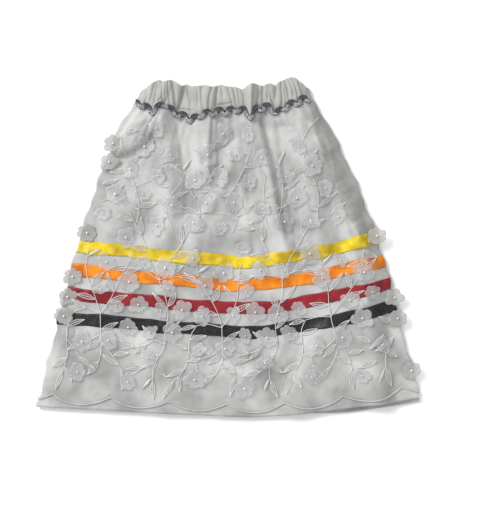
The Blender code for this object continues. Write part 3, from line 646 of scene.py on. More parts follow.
def round_line(share, heights, columns):
    """One closed line round the skirt at a share, at these heights."""
    points, _ = cloth_rows(*(np.full((1, len(places)), share) for places in columns), heights, columns)
    return np.concatenate([points[0], points[0][:1]])


stitches = stitch_tree()
white_thread = thread_finish("white_thread", (0.62, 0.62, 0.61))
hem_line = lines_object("hem_line", [
    round_line(1 - HEM_DEPTH / PANEL_LENGTH, moved_out(HEM_STITCH_OUT), satin_columns)])
hem_stitches = grown("hem_stitches", hem_line, stitches, {"Material": white_thread})
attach(hem_stitches, "root")

# The four ribbons.
# Satin ribbon 16 mm wide, yellow, orange, red and black from the top, edge-stitched flat on the underskirt
# all round and 14 mm apart. The stitching puckers the edges a little, and each ribbon rides over the folds.
RIBBON_WIDTH, RIBBON_THICK, RIBBON_PITCH, FIRST_RIBBON = 16.0, 0.35, 30.4, 190.0
RIBBON_ROWS = 9
# The skirt's half width for the waves along a ribbon, and where its seams lie: in from the edge, as a share
# of its half width, and how far out of the ribbon.
HALF_WIDE, SEAM_INSET, SEAM_EDGE, SEAM_OUT = 240, 1.3, 0.84, 0.02
# How far a ribbon lies off the satin in front and behind, and how much its middle is raised.
OFF_FRONT, OFF_BACK, RIBBON_CROWN = 0.15, 0.08, 0.10
# A ribbon's roughness, and the size in metres of its colour patches, which are partly random tone and partly
# painted shade and sheen of its folds.
RIBBON_ROUGHNESS, RIBBON_TONE_AND_SHADE_PATCH = 0.34, 0.018
# Each ribbon's dark and light tones are the ends of those patches of random tone and painted fold shade and
# sheen.
RIBBONS = (
    ("yellow", (0.42, 0.29, 0.004), (0.78, 0.59, 0.012), 0.80),
    ("orange", (0.52, 0.125, 0.0006), (0.86, 0.265, 0.0012), 0.84),
    ("red", (0.175, 0.0025, 0.008), (0.31, 0.005, 0.015), 0.87),
    ("black", (0.002, 0.003, 0.005), (0.007, 0.009, 0.012), 0.90),
)


def pucker(across, edge, number):
    """The small waves that edge-stitching draws up, strongest at the edges."""
    x = across * HALF_WIDE
    waves = 0.16 * np.sin(x / 2.3 + 1.7 * number) + 0.12 * np.sin(x / 4.1 + number + 0.6 * edge)
    return waves * edge ** 2 + 0.22 * (1 + np.sin(x / 2.7 + 1.9 * edge + 1.6 * np.sin(x / 9.5 + number)))


for number, (colour, dark, light, shown_long) in enumerate(RIBBONS):
    middle = FIRST_RIBBON + number * RIBBON_PITCH
    edge = np.linspace(-1, 1, RIBBON_ROWS)[:, None]

    def ribbon_shares(across, number=number, middle=middle, edge=edge):
        """The ribbon's rows, which wander by up to 1.65 mm from true."""
        x = across[None] * HALF_WIDE
        sway = (0.85 * np.sin(x / 21 + 2 * number) + 0.5 * np.sin(x / 11.3 + number + edge)
                + 0.3 * np.sin(x / 5.7 + 2.2 * number + 1.4 * edge))
        return (middle + edge * RIBBON_WIDTH / 2 + sway) / PANEL_LENGTH

    def top(a, s, number=number, edge=edge):
        edges = edge if s.shape[0] == RIBBON_ROWS else SEAM_EDGE
        crown = RIBBON_CROWN * (1 - np.abs(edges) ** 3)
        puckered = pucker(a, edges, number) * side_fade(a, s, 6, 6)
        return satin_front(a, s) + RIBBON_THICK + OFF_FRONT + crown + puckered

    def below(a, s, number=number, edge=edge):
        edges = edge if s.shape[0] == RIBBON_ROWS else SEAM_EDGE
        return satin_back(a, s) - RIBBON_THICK - OFF_BACK - 0.4 * pucker(a, edges, number)

    finish = satin_finish(f"{colour}_satin", dark, light, RIBBON_ROUGHNESS, 0.0, RIBBON_TONE_AND_SHADE_PATCH)
    shares = [ribbon_shares(places) for places in satin_columns]
    ribbon, _ = walled(f"{colour}_ribbon", shares, (top, below), RIBBON_THICK, satin_columns, finish)
    seams = [round_line((middle + way * (RIBBON_WIDTH / 2 - SEAM_INSET)) / PANEL_LENGTH,
                        moved_out(SEAM_OUT, top, below), satin_columns) for way in (-1, 1)]
    thread = thread_finish(f"{colour}_thread", light)
    sewing = grown(f"{colour}_ribbon_stitches", lines_object("edges", seams), stitches, {"Material": thread})
    for piece in (ribbon, sewing):
        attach(piece, "root")
    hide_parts(f"ribbon_{colour}_front", f"ribbon_{colour}_back")

# The lace overlay.
# Fine white net gathered into the same seam, lying loose over the satin and ribbons, and ending a little
# above the hem in scallops 76 mm wide. The net is so fine that it only veils what lies under it.
LACE_FRONT, LACE_BACK, LACE_THICK = 3.7, 1.0, 0.2
SCALLOP, SCALLOP_CUSP_X, SCALLOP_LOW, SCALLOP_DEPTH = 76.0, -3.0, 6.0, 11.0
LACE_ROWS, LACE_FRONT_COLUMNS, LACE_BACK_COLUMNS = 120, 176, 90
NET_CELLS_A_METRE = 620.0
LACE_WRINKLES = (
    ("pulled line, left", 4, 0.7, ((-140, 60), (-100, 30), (-80, -10))),
    ("pulled line by the puff", 3.5, 0.6, ((-120, 118), (-96, 96), (-92, 70))),
    ("pulled line, middle", 4, 0.6, ((-20, 20), (10, -10), (20, -60))),
    ("pulled line, right", 4, 0.7, ((110, 40), (130, 0), (150, -50))),
    ("pulled line, low", 4, 0.7, ((-150, -120), (-110, -150), (-90, -190))),
    ("pulled line, low right", 4, 0.6, ((40, -120), (30, -160), (50, -196))),
    ("net's tuck by the main ridge", 3, 0.8, ((36, 150), (48, 110), (58, 70))),
)


def scallop_share(x):
    """The share at which the lace ends: swags that hang between cusps."""
    along = np.mod((x - SCALLOP_CUSP_X) / SCALLOP, 1.0)
    return 1 - (SCALLOP_LOW + SCALLOP_DEPTH * np.abs(2 * along - 1) ** 2) / PANEL_LENGTH


def lace_shares(across):
    x, _ = plan(across, np.full_like(across, 0.97))
    return np.linspace(0, 1, LACE_ROWS)[:, None] * scallop_share(x)[None]


def lace_front(across, share):
    x, y = plan(across, share)
    wavy = np.sin(x / 6.1 + 1.1 * np.sin(y / 9.0)) * np.sin(y / 8.3 + 0.5)
    loose = folded(x, y, LACE_WRINKLES) + 0.28 * wavy
    return (satin_front(across, share) + LACE_FRONT - SATIN_FRONT
            + loose * side_fade(across, share, *FINE_FALLS))


def lace_back(across, share):
    return LACE_BACK + 0.8 * back_lift(across, share)


def net_finish(name):
    """Net: threads round small cells, with clear holes between them."""
    material, tree, shader = new_finish(name, 0.6)
    mottled(tree, shader, (0.60, 0.60, 0.59), (0.70, 0.70, 0.69), 0.03)
    cell = node(tree, "ShaderNodeTexVoronoi",
                {"Vector": flat_cloth(tree), "Scale": NET_CELLS_A_METRE, "Randomness": 0.35},
                voronoi_dimensions="2D", feature="DISTANCE_TO_EDGE").outputs["Distance"]
    tree.links.new(ranged(tree, cell, 0.02, 0.10, 0.03, 0.0), shader.inputs["Alpha"])
    raised(tree, shader, math_of(tree, "MULTIPLY", cell, -1.0), 0.0004, 0.4)
    return material


lace_columns = columns_of(LACE_FRONT_COLUMNS, LACE_BACK_COLUMNS)
lace, lace_outer = walled("lace_overlay", [lace_shares(places) for places in lace_columns],
                          (lace_front, lace_back), LACE_THICK, lace_columns, net_finish("white_net"))
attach(lace, "root")
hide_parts("overlay_front", "overlay_back")

# The lace's embroidery: vines, leaves and the corded scallops.
# White cord laid on the net and stitched down. The vines fork between the flowers, the leaves are long
# pointed ovals drawn in cord with a vein and small cross stitches, and some are filled with satin stitch.
REPEAT = 2 * SCALLOP
REPEAT_ORIGIN = -91.0
CORD, FINE_CORD, EDGE_CORD = 0.48, 0.30, 0.66
UPPER_FINER = 0.82
# How far a leaf begins from its vine, how much longer a drawn leaf is than charted, how wide to its length
# its sides, its cross stitches and its filling reach, and where along it they are widest.
LEAF_STALK, LEAF_STRETCH, LEAF_SIDE, LEAF_RIB, LEAF_FILL, LEAF_SHAPE = 1.5, 1.15, 0.125, 0.118, 0.10, 0.85
# How far cords are raised off the net, and the pitch at which their thread is wound, in metres.
CORD_LIFT, CORD_TWIST = 0.05, 0.0007
# A filled leaf's half thickness at its edge and how far its middle stands up over it.
PAD_EDGE, PAD_CROWN = 0.12, 0.28
# A vine of the repeat: points across from the repeat's middle and above the hem.
VINES = (
    ((4, 174), (-8, 198), (-22, 224), (-36, 250)),
    ((4, 174), (17, 198), (31, 222), (42, 246)),
    ((4, 174), (6, 140), (6, 110), (4, 88), (-7, 71), (-20, 58), (-34, 45)),
    ((5, 93), (-8, 95), (-18, 87), (-34, 80), (-50, 77)),
    ((-4, 75), (-9, 60), (-7, 44)),
    ((4, 174), (18, 178), (30, 179)),
    ((4, 174), (-16, 181), (-30, 180)),
    ((78, 118), (69, 142), (60, 168), (54, 198)),
    ((78, 118), (93, 142), (105, 168), (112, 196)),
    ((78, 118), (81, 96), (79, 74), (70, 56)),
    ((80, 92), (66, 82), (53, 76)),
    ((80, 84), (92, 68), (99, 50)),
    ((78, 118), (60, 121), (45, 117)),
    ((45, 117), (38, 100), (36, 82), (30, 60), (20, 46)),
    ((36, 84), (45, 70), (47, 58)),
)
# A leaf of the repeat: across, above the hem, its direction in degrees, its length, and 1 if it is filled.
LEAVES = (
    (30, 179, 352, 25, 0), (18, 178, 38, 20, 0), (-30, 180, 186, 24, 0), (-16, 181, 140, 20, 0),
    (-12, 206, 176, 20, 0), (-22, 224, 88, 20, 0), (-31, 240, 168, 18, 0), (20, 203, 18, 22, 0),
    (31, 222, 92, 20, 0), (38, 238, 14, 18, 0), (6, 140, 52, 21, 0), (6, 136, 132, 21, 0),
    (6, 108, 40, 18, 0), (-8, 95, 140, 17, 0), (-18, 87, 222, 18, 0), (-34, 80, 158, 17, 0),
    (-2, 78, 200, 21, 0), (-10, 67, 320, 20, 0), (-20, 58, 196, 20, 0), (-7, 45, 286, 20, 0),
    (-8, 48, 244, 18, 1), (72, 134, 172, 22, 0), (66, 150, 52, 22, 0), (59, 172, 150, 20, 0),
    (56, 186, 40, 18, 1), (88, 134, 22, 23, 0), (96, 148, 112, 20, 0), (106, 170, 28, 20, 0),
    (81, 98, 28, 20, 0), (80, 84, 214, 20, 0), (66, 82, 148, 17, 0), (53, 76, 196, 16, 0),
    (77, 68, 330, 19, 0), (92, 68, 10, 18, 0), (98, 52, 272, 22, 0), (71, 58, 226, 22, 0),
    (60, 121, 152, 18, 0), (45, 117, 196, 18, 0), (37, 98, 20, 20, 0), (36, 86, 160, 18, 0),
    (31, 62, 206, 20, 0), (46, 62, 318, 18, 0), (20, 47, 250, 20, 0), (24, 52, 292, 18, 0),
)
UPPER_ORIGINS = (-118.0, 0.0, 118.0)
UPPER_VINES = (
    ((0, 240), (4, 262), (-4, 286), (-18, 308), (-26, 336)),
    ((-4, 286), (12, 300), (24, 320), (30, 346)),
    ((-52, 238), (-44, 262), (-48, 288), (-56, 316)),
    ((-44, 262), (-30, 268), (-18, 266)),
    ((46, 240), (40, 262), (44, 286), (52, 306)),
    ((-26, 336), (-20, 352), (-6, 366)),
)
UPPER_LEAVES = (
    (4, 260, 30, 21, 0), (4, 256, 150, 21, 0), (-4, 286, 146, 20, 0), (12, 300, 350, 20, 0),
    (-18, 308, 196, 20, 0), (-20, 312, 48, 19, 0), (-26, 336, 150, 19, 0), (-20, 352, 20, 18, 0),
    (24, 320, 16, 19, 0), (28, 336, 140, 19, 0), (-44, 262, 160, 19, 0), (-30, 268, 60, 18, 0),
    (-47, 284, 26, 18, 0), (-56, 314, 146, 17, 0),
    (-56, 316, 62, 18, 1), (41, 258, 206, 19, 0), (43, 280, 28, 18, 0), (52, 304, 120, 18, 0),
)


def chart_point(origin, across, above_hem):
    """A place of the chart as its place across the panel and its share."""
    across, above_hem = np.asarray(across, float), np.asarray(above_hem, float)
    aside = 4.5 * np.sin(above_hem / 31 + origin / 45) + 2.5 * np.sin(above_hem / 13 + origin / 30)
    pulled_up = above_hem + 3.5 * np.sin((origin + across) / 37) + 1.5 * np.sin((origin + across) / 11)
    share = 1 - pulled_up / PANEL_LENGTH
    return across_at(origin + (across + aside), share), share


def rounded_line(points, step=3.0):
    """A smooth line through chart points, with a point every few millimetres."""
    points = np.array(points, float)
    far = np.concatenate([[0], np.cumsum(np.linalg.norm(np.diff(points, axis=0), axis=1))])
    at = np.linspace(0, far[-1], max(3, int(far[-1] / step) + 1))
    table = [(f, *p) for f, p in zip(far, points)]
    if len(points) < 3:
        return np.stack([np.interp(at, far, points[:, k]) for k in (0, 1)], axis=1)
    return np.stack([through(at, table, 1), through(at, table, 2)], axis=1)


def leaf_ways(degrees):
    """The directions along a leaf and across it."""
    c, s = math.cos(math.radians(degrees)), math.sin(math.radians(degrees))
    return np.array([c, s]), np.array([-s, c])


def leaf_lines(x, y, degrees, length):
    """The cords of one leaf on the chart: two bowed sides, a vein and short cross stitches."""
    t = np.linspace(0, 1, 8)
    bow = LEAF_SIDE * length * np.sin(math.pi * t ** LEAF_SHAPE)
    along, side = leaf_ways(degrees)
    start = np.array([x, y]) + along * LEAF_STALK
    spine = start + np.outer(t * length, along)
    sides = [spine + np.outer(way * bow, side) for way in (1, -1)]
    vein = [start + np.outer(np.linspace(0.02, 0.94, 5) * length, along)]
    ribs = []
    for place in np.linspace(0.14, 0.88, 9):
        wide = LEAF_RIB * length * math.sin(math.pi * place ** LEAF_SHAPE)
        middle = start + along * place * length
        ribs.append(np.array([middle - side * wide - along * 0.6, middle + side * wide + along * 0.6]))
    return sides, vein, ribs


def leaf_filling(x, y, degrees, length):
    """The outline and middle of a filled leaf, as a strip of chart points across it."""
    along, side = leaf_ways(degrees)
    strip = []
    for t in np.linspace(0, 1, 9):
        bow = LEAF_FILL * length * math.sin(math.pi * t ** LEAF_SHAPE) + PAD_EDGE
        middle = np.array([x, y]) + along * (LEAF_STALK + t * length)
        strip.append([middle + side * bow * way for way in (-1, -0.5, 0, 0.5, 1)])
    return np.array(strip)


def on_lace(chart, origin, front):
    """Chart points as points of the lace, raised off the net on its outer side."""
    across, share = chart_point(origin, chart[..., 0], chart[..., 1])
    across = np.clip(across, -1, 1)
    x, y = plan(across, share)
    height = lace_front(across, share) + CORD_LIFT if front else lace_back(across, share) - CORD_LIFT
    return np.stack([x, y, height], axis=-1)


def fits(chart, origin):
    """Whether a motif lies on the panel, clear of its sides, waist and scallops."""
    across, share = chart_point(origin, chart[..., 0], chart[..., 1])
    x, _ = plan(across, share)
    return bool(np.all((np.abs(across) < 0.985) & (share > 0.012) & (share < scallop_share(x) - 0.004)))


def motifs(front):
    """Every cord of the vines and leaves of one side with its thickness, and the filled leaves' strips."""
    cords, thick, strips = [], [], []
    shift = 0.0 if front else 0.5 * REPEAT
    sets = [(REPEAT_ORIGIN + shift + k * REPEAT, VINES, LEAVES, 1.0) for k in range(-2, 3)]
    sets += [(origin, UPPER_VINES, UPPER_LEAVES, UPPER_FINER) for origin in UPPER_ORIGINS]
    for origin, vines, leaves, finer in sets:
        for vine in vines:
            line = rounded_line(vine)
            if fits(line, origin):
                cords.append(on_lace(line, origin, front))
                thick.append(np.linspace(CORD, 0.75 * CORD, len(line)) * finer)
        for x, y, degrees, length, filled in leaves:
            if filled:
                strip = leaf_filling(x, y, degrees, length)
                if fits(strip, origin):
                    strips.append(on_lace(strip, origin, front))
                continue
            sides, vein, ribs = leaf_lines(x, y, degrees, LEAF_STRETCH * length)
            if not fits(np.concatenate(sides), origin):
                continue
            for group, size in ((sides, 0.75 * CORD), (vein, FINE_CORD), (ribs, 0.75 * FINE_CORD)):
                for line in group:
                    cords.append(on_lace(line, origin, front))
                    thick.append(np.full(len(line), size * finer))
    return cords, thick, strips


def cord_tree():
    """Turns lines into round cords whose thickness is read from the lines' points."""
    tree, start, end = geometry_tree("cords along lines", (
        ("Sides", "NodeSocketInt", 5), ("Material", "NodeSocketMaterial", None)))
    line = node(tree, "GeometryNodeMeshToCurve", {"Mesh": start.outputs["Geometry"]})
    size = node(tree, "GeometryNodeInputNamedAttribute", {"Name": "thick"}, data_type="FLOAT")
    far = node(tree, "GeometryNodeSplineParameter")
    marked = node(tree, "GeometryNodeStoreNamedAttribute", {
        "Geometry": line.outputs["Curve"], "Name": "along", "Value": far.outputs["Length"]},
        data_type="FLOAT", domain="POINT")
    ring = node(tree, "GeometryNodeCurvePrimitiveCircle",
                {"Resolution": start.outputs["Sides"], "Radius": MM}, mode="RADIUS")
    tube = node(tree, "GeometryNodeCurveToMesh", {"Curve": marked.outputs["Geometry"],
                                                  "Profile Curve": ring.outputs["Curve"],
                                                  "Scale": size.outputs["Attribute"], "Fill Caps": True})
    end_tree(tree, tube.outputs["Mesh"], start, end)
    return tree


def mark_read(tree, name):
    return node(tree, "ShaderNodeAttribute", attribute_name=name).outputs["Fac"]


def wound(tree, shader, pitch, depth, strength):
    """The ridges of thread wound round a cord, at a pitch along it in metres."""
    turns = math_of(tree, "MULTIPLY", mark_read(tree, "along"), 2 * math.pi / pitch)
    raised(tree, shader, math_of(tree, "SINE", turns), depth, strength)


def cord_finish(name, dark, light):
    """Embroidery cord: bright white thread wound round a core."""
    material, tree, shader = new_finish(name, 0.42, Sheen_Weight=0.3, Specular_IOR_Level=0.5)
    mottled(tree, shader, dark, light, 0.012)
    wound(tree, shader, CORD_TWIST, 0.00012, 0.5)
    return material


def joined(name, parts, material):
    """One piece from meshes given as points in millimetres and faces."""
    points, faces = [], []
    for part_points, part_faces in parts:
        faces += [tuple(i + len(points) for i in face) for face in part_faces]
        points += [tuple(p * MM for p in point) for point in part_points]
    mesh = bpy.data.meshes.new(name)
    mesh.from_pydata(points, [], faces)
    return new_piece(name, mesh, material)


def padded_leaf(strip, front):
    """A filled leaf: a closed pad whose middle stands up over its edges."""
    rows, columns = strip.shape[:2]
    up = 1 if front else -1
    crown = PAD_CROWN * np.cos(np.linspace(-1, 1, columns) * math.pi / 2)[None] * np.ones((rows, 1))
    crown[[0, -1]] *= 0.2
    top, low = strip.copy(), strip.copy()
    top[:, :, 2] += up * (crown + PAD_EDGE)
    low[:, :, 2] -= up * PAD_EDGE
    count = rows * columns
    quads = [(r * columns + c, (r + 1) * columns + c, (r + 1) * columns + c + 1, r * columns + c + 1)
             for r in range(rows - 1) for c in range(columns - 1)]
    edge = (list(range(columns)) + [r * columns + columns - 1 for r in range(1, rows)]
            + [(rows - 1) * columns + c for c in range(columns - 2, -1, -1)]
            + [r * columns for r in range(rows - 2, 0, -1)])
    sides = [(a, b, b + count, a + count) for a, b in zip(edge, edge[1:] + edge[:1])]
    faces = quads + [tuple(i + count for i in q[::-1]) for q in quads] + sides
    return list(top.reshape(-1, 3)) + list(low.reshape(-1, 3)), faces


def turned_outwards(piece):
    """Turns every closed body of a piece so that its faces point out."""
    shape = bmesh.new()
    shape.from_mesh(piece.data)
    bmesh.ops.recalc_face_normals(shape, faces=shape.faces)
    shape.to_mesh(piece.data)
    shape.free()


cords_tree = cord_tree()
embroidery_cord = cord_finish("embroidery_cord", (0.63, 0.63, 0.62), (0.77, 0.77, 0.76))
satin_stitch = cord_finish("satin_stitch", (0.46, 0.46, 0.455), (0.58, 0.58, 0.57))
lace_trims = []
for side, front in (("front", True), ("back", False)):
    cords, thick, strips = motifs(front)
    vines = grown(f"{side}_vines", lines_object("vine_lines", cords, thick=thick), cords_tree,
                  {"Material": embroidery_cord, "Sides": 5 if front else 4})
    leaves = joined(f"{side}_filled_leaves", [padded_leaf(strip, front) for strip in strips], satin_stitch)
    turned_outwards(leaves)
    lace_trims += [vines, leaves]
scallop_line = np.concatenate([lace_outer[-1], lace_outer[-1][:1]])
scallop_cord = grown("scallop_cord", lines_object(
    "scallops", [scallop_line], thick=[np.full(len(scallop_line), EDGE_CORD)]),
    cords_tree, {"Material": satin_stitch, "Sides": 6})
lace_trims.append(scallop_cord)

# The organza flowers.
# A round of stiff white organza with five to seven lobes and a frayed rim, cupped and caught down at the
# middle by a pearl. It is half see-through and its rim stands 1 to 2 mm off the net. On the back, where the
# skirt lies on it, it is pressed flat.
FLOWER_RADIUS, FLOWER_APART, FLOWER_FROM_SIDE, FLOWER_TURN = 12.5, 2.0, 4.0, 37.0
ORGANZA = 0.18
CUPPED_RADIUS, PRESSED_RADIUS, RIM_RADIUS = 13.6, 13.0, 12.8
# How far a cupped flower is lifted and how deep it is, how deep a pressed one is, and where its rings lie.
PETAL_LIFT, CUPPED, PRESSED = 0.25, 1.0, 0.1
PETAL_RINGS = (0.30, 0.58, 0.82, 1.0)
REPEAT_FLOWERS = (
    (-43, 220), (-68, 186), (-21, 190), (8, 186), (44, 202), (12, 160), (-39, 164), (-56, 132),
    (-27, 136), (30, 134), (2, 131), (60, 168), (-40, 106), (-12, 102), (17, 104),
    (-14, 70), (-41, 38), (46, 46), (52, 84), (56, 128), (76, 152), (-66, 88),
)
UPPER_FLOWERS = (
    (-46, 248), (-12, 243), (24, 240), (-30, 275), (6, 279), (44, 268), (-44, 304), (-10, 310),
    (26, 305), (-28, 338), (8, 341), (42, 333), (-8, 366), (24, 364),
)
SIDE_FLOWERS = (
    ("flower_left_top", -150.5, 135.0, 10),
    ("flower_left_upper", -155.5, 111.0, 40),
    ("flower_left_yellow", -184.5, 19.0, 25),
    ("flower_left_orange", -203.5, -38.0, 0),
    ("flower_left_red", -210.0, -64.0, 50),
    ("flower_left_black", -214.5, -89.0, 15),
    ("flower_right_yellow", 191.5, 15.0, 5),
    ("flower_right_red", 215.0, -65.0, 30),
    ("flower_right_black", 219.0, -92.0, 60),
    ("flower_right_low", 237.0, -160.0, 20),
)
# A flower's make: lobes, depth of the notches, ruffle of the rim, and its turn in degrees.
FLOWER_MAKES = ((6, 0.26, 0.55, 24), (5, 0.32, 0.45, 38), (7, 0.22, 0.65, 14))


def flower_places(shift):
    """Centres of one side's flowers with their turns in degrees, none so near that petals cross."""
    places = [(REPEAT_ORIGIN + shift + k * REPEAT + s, t) for k in range(-1, 3) for s, t in REPEAT_FLOWERS]
    places += [(origin + s, t) for origin in UPPER_ORIGINS for s, t in UPPER_FLOWERS]
    beside = [(x, y) for _, x, y, _ in SIDE_FLOWERS]
    kept = []
    for n, (x, above_hem) in enumerate(places):
        share = 1 - above_hem / PANEL_LENGTH
        across = float(across_at(x, share))
        if abs(across) > 1:
            continue
        px, py = (float(v) for v in plan(across, share))
        half = float(through(share, OUTLINE, 3) - through(share, OUTLINE, 1)) / 2
        inside = (1 - abs(across)) * half > FLOWER_RADIUS + FLOWER_FROM_SIDE
        nearest = min(math.dist((px, py), other) for other in [k[:2] for k in kept] + beside)
        if inside and nearest > 2 * FLOWER_RADIUS + FLOWER_APART:
            kept.append((px, py, FLOWER_TURN * n))
    return kept


def petals(radius, lobes, notch, ruffle, turn, lift, cup, seed, around=40):
    """A flower's petals as a closed thin body: its points in millimetres, and faces."""
    angles = np.arange(around) * 2 * math.pi / around
    petal = np.abs(np.cos(lobes * (angles - math.radians(turn)) / 2))
    uneven = 1 + 0.08 * np.sin(2 * angles + seed) + 0.06 * np.sin(3 * angles + 2.1 * seed)
    frayed = 1 + 0.02 * np.sin(19 * angles + 3 * seed)
    rim = radius * uneven * frayed * (1 - notch * (1 - petal ** 0.55))
    points = [(0.0, 0.0, lift)]
    for share in PETAL_RINGS:
        wave = ruffle * np.sin(lobes * angles * 2 + seed + 0.8 * np.sin(angles)) * share ** 3
        crease = -0.35 * (1 - petal ** 0.5) * share
        height = lift + cup * share ** 1.7 + wave + crease
        points += [(r * share * math.cos(a), r * share * math.sin(a), h)
                   for r, a, h in zip(rim, angles, height)]
    count = len(points)
    points += [(x, y, z - ORGANZA) for x, y, z in points]
    faces = []
    for k in range(around):
        n = (k + 1) % around
        faces.append((0, 1 + k, 1 + n))
        faces.append((count, count + 1 + n, count + 1 + k))
        for ring in range(len(PETAL_RINGS) - 1):
            a, b = 1 + ring * around, 1 + (ring + 1) * around
            faces.append((a + k, b + k, b + n, a + n))
            faces.append((count + a + n, count + b + n, count + b + k, count + a + k))
        far = 1 + (len(PETAL_RINGS) - 1) * around
        faces.append((far + k, count + far + k, count + far + n, far + n))
    return points, faces


def make_of_flower(number, flat=False):
    """The petals of one make of flower, cupped or pressed flat."""
    lobes, notch, ruffle, turn = FLOWER_MAKES[number]
    if flat:
        return petals(PRESSED_RADIUS, lobes, notch, 0.05, turn, 0.0, PRESSED, number + 1.0)
    return petals(CUPPED_RADIUS, lobes, notch, 0.8 * ruffle, turn, PETAL_LIFT, CUPPED, number + 1.0, 48)


def organza_finish(name, dark, light, thin, dense):
    """Organza: stiff clear weave, denser at the frayed rim and in small slubs."""
    material, tree, shader = new_finish(name, 0.42, Sheen_Weight=0.15, Sheen_Roughness=0.3)
    mottled(tree, shader, dark, light, 0.02)
    threads = noise_of(tree, 1500.0, 2.0)
    body = ranged(tree, threads, 0.3, 0.7, thin, dense)
    hem = ranged(tree, mark_read(tree, "rim"), 0.86, 1.0, 0.0, 0.08)
    tree.links.new(math_of(tree, "ADD", body, hem), shader.inputs["Alpha"])
    raised(tree, shader, threads, 0.0002, 0.4)
    return material


def flowers_joined(name, parts, material):
    """Flowers as one piece. Its points are marked with how far out they lie on their flower, for the rim."""
    piece = joined(name, parts, material)
    flat = [np.array(points)[:, :2] for points, _ in parts]
    far = np.concatenate([np.linalg.norm(points - points[0], axis=1) for points in flat])
    mark_points(piece.data, "rim", np.clip(far / RIM_RADIUS, 0, 1))
    turned_outwards(piece)
    return piece


def pieces_on_lace_tree():
    """Sets one of three makes on each point and drops it on the lace, as a whole or point by point."""
    tree, start, end = geometry_tree("pieces set on the lace", (
        ("First make", "NodeSocketObject", None), ("Second make", "NodeSocketObject", None),
        ("Third make", "NodeSocketObject", None), ("Lace", "NodeSocketObject", None),
        ("Follow", "NodeSocketFloat", 1.0), ("Upwards", "NodeSocketFloat", 1.0),
        ("Material", "NodeSocketMaterial", None)))
    join = tree.nodes.new("GeometryNodeJoinGeometry")
    for label in ("Third make", "Second make", "First make"):
        made = node(tree, "GeometryNodeObjectInfo", {"Object": start.outputs[label], "As Instance": True})
        tree.links.new(made.outputs["Geometry"], join.inputs["Geometry"])
    spot = node(tree, "GeometryNodeInputPosition").outputs["Position"]
    rooted = node(tree, "GeometryNodeStoreNamedAttribute", {
        "Geometry": start.outputs["Geometry"], "Name": "root", "Value": spot},
        data_type="FLOAT_VECTOR", domain="POINT")
    kinds = {"turn": "FLOAT", "size": "FLOAT", "make": "INT", "root": "FLOAT_VECTOR"}
    read = {name: node(tree, "GeometryNodeInputNamedAttribute", {"Name": name}, data_type=kind).outputs[0]
            for name, kind in kinds.items()}
    turned = node(tree, "ShaderNodeCombineXYZ", {"Z": read["turn"]}).outputs["Vector"]
    tilted = math_of(tree, "MULTIPLY", read["size"], read["size"])
    sized = node(tree, "ShaderNodeCombineXYZ", {"X": read["size"], "Y": tilted,
                                                "Z": start.outputs["Upwards"]}).outputs["Vector"]
    copies = node(tree, "GeometryNodeInstanceOnPoints", {
        "Points": rooted.outputs["Geometry"], "Instance": join.outputs["Geometry"], "Pick Instance": True,
        "Instance Index": read["make"], "Rotation": turned, "Scale": sized})
    real = node(tree, "GeometryNodeRealizeInstances", {"Geometry": copies.outputs["Instances"]})
    cloth = node(tree, "GeometryNodeObjectInfo", {"Object": start.outputs["Lace"]})
    aim = node(tree, "ShaderNodeMix", {"Factor": start.outputs["Follow"], 4: read["root"], 5: spot},
               data_type="VECTOR")
    flat = node(tree, "ShaderNodeSeparateXYZ", {"Vector": aim.outputs[1]})
    above = start.outputs["Upwards"]
    begin = node(tree, "ShaderNodeCombineXYZ", {"X": flat.outputs["X"], "Y": flat.outputs["Y"], "Z": above})
    way = node(tree, "ShaderNodeCombineXYZ", {"Z": math_of(tree, "MULTIPLY", above, -1.0)})
    ray = node(tree, "GeometryNodeRaycast", {
        "Target Geometry": cloth.outputs["Geometry"], "Source Position": begin.outputs["Vector"],
        "Ray Direction": way.outputs["Vector"], "Ray Length": 2.0})
    hit = node(tree, "ShaderNodeSeparateXYZ", {"Vector": ray.outputs["Hit Position"]}).outputs["Z"]
    drop = node(tree, "ShaderNodeCombineXYZ", {"Z": hit})
    set_down = node(tree, "GeometryNodeSetPosition", {
        "Geometry": real.outputs["Geometry"], "Selection": ray.outputs["Is Hit"],
        "Offset": drop.outputs["Vector"]})
    end_tree(tree, set_down.outputs["Geometry"], start, end)
    return tree


def spots_object(name, places):
    """A mesh of bare points with the turn, size and make of what goes on each."""
    mesh = bpy.data.meshes.new(name)
    mesh.from_pydata([(x * MM, y * MM, 0.0) for x, y, _ in places], [], [])
    numbers = np.arange(len(places))
    for mark, kind, values in (
            ("turn", "FLOAT", np.radians([t for _, _, t in places])),
            ("size", "FLOAT", 0.91 + 0.12 * np.sin(2.3 * numbers)),
            ("make", "INT", (numbers * 7 // 3) % 3)):
        mark_points(mesh, mark, values, kind)
    return placed(name, mesh)


def set_on_lace(name, places, makes, follow, way, material):
    """A piece of copies of three makes on the lace, above it where way is 1 and under it where it is -1."""
    values = {"Lace": lace, "Follow": follow, "Upwards": way, "Material": material}
    values.update(zip(("First make", "Second make", "Third make"), makes))
    piece = grown(name, spots_object(f"{name}_spots", places), on_lace_tree, values)
    if way < 0:
        turned_outwards(piece)
    return piece


on_lace_tree = pieces_on_lace_tree()
organza = organza_finish("white_organza", (0.55, 0.555, 0.555), (0.72, 0.725, 0.72), 0.20, 0.33)
cupped = [flowers_joined(f"cupped_make_{k}", [make_of_flower(k)], organza) for k in range(3)]
pressed = [flowers_joined(f"pressed_make_{k}", [make_of_flower(k, True)], organza) for k in range(3)]
front_places, back_places = flower_places(0.0), flower_places(0.5 * REPEAT)
lace_trims.append(set_on_lace("front_flowers", front_places, cupped, 1.0, 1.0, organza))
lace_trims.append(set_on_lace("back_flowers", back_places, pressed, 1.0, -1.0, organza))

# The flowers at the side folds.
# The same organza flowers, caught on the lace where it turns over the side, so that a part of each stands
# free past the skirt's edge. Each sits at its solid, but on the left 4 to 5 mm further in.
SIDE_FLOWER_DOWN, SIDE_FLOWER_SIZE = 0.5, 0.9


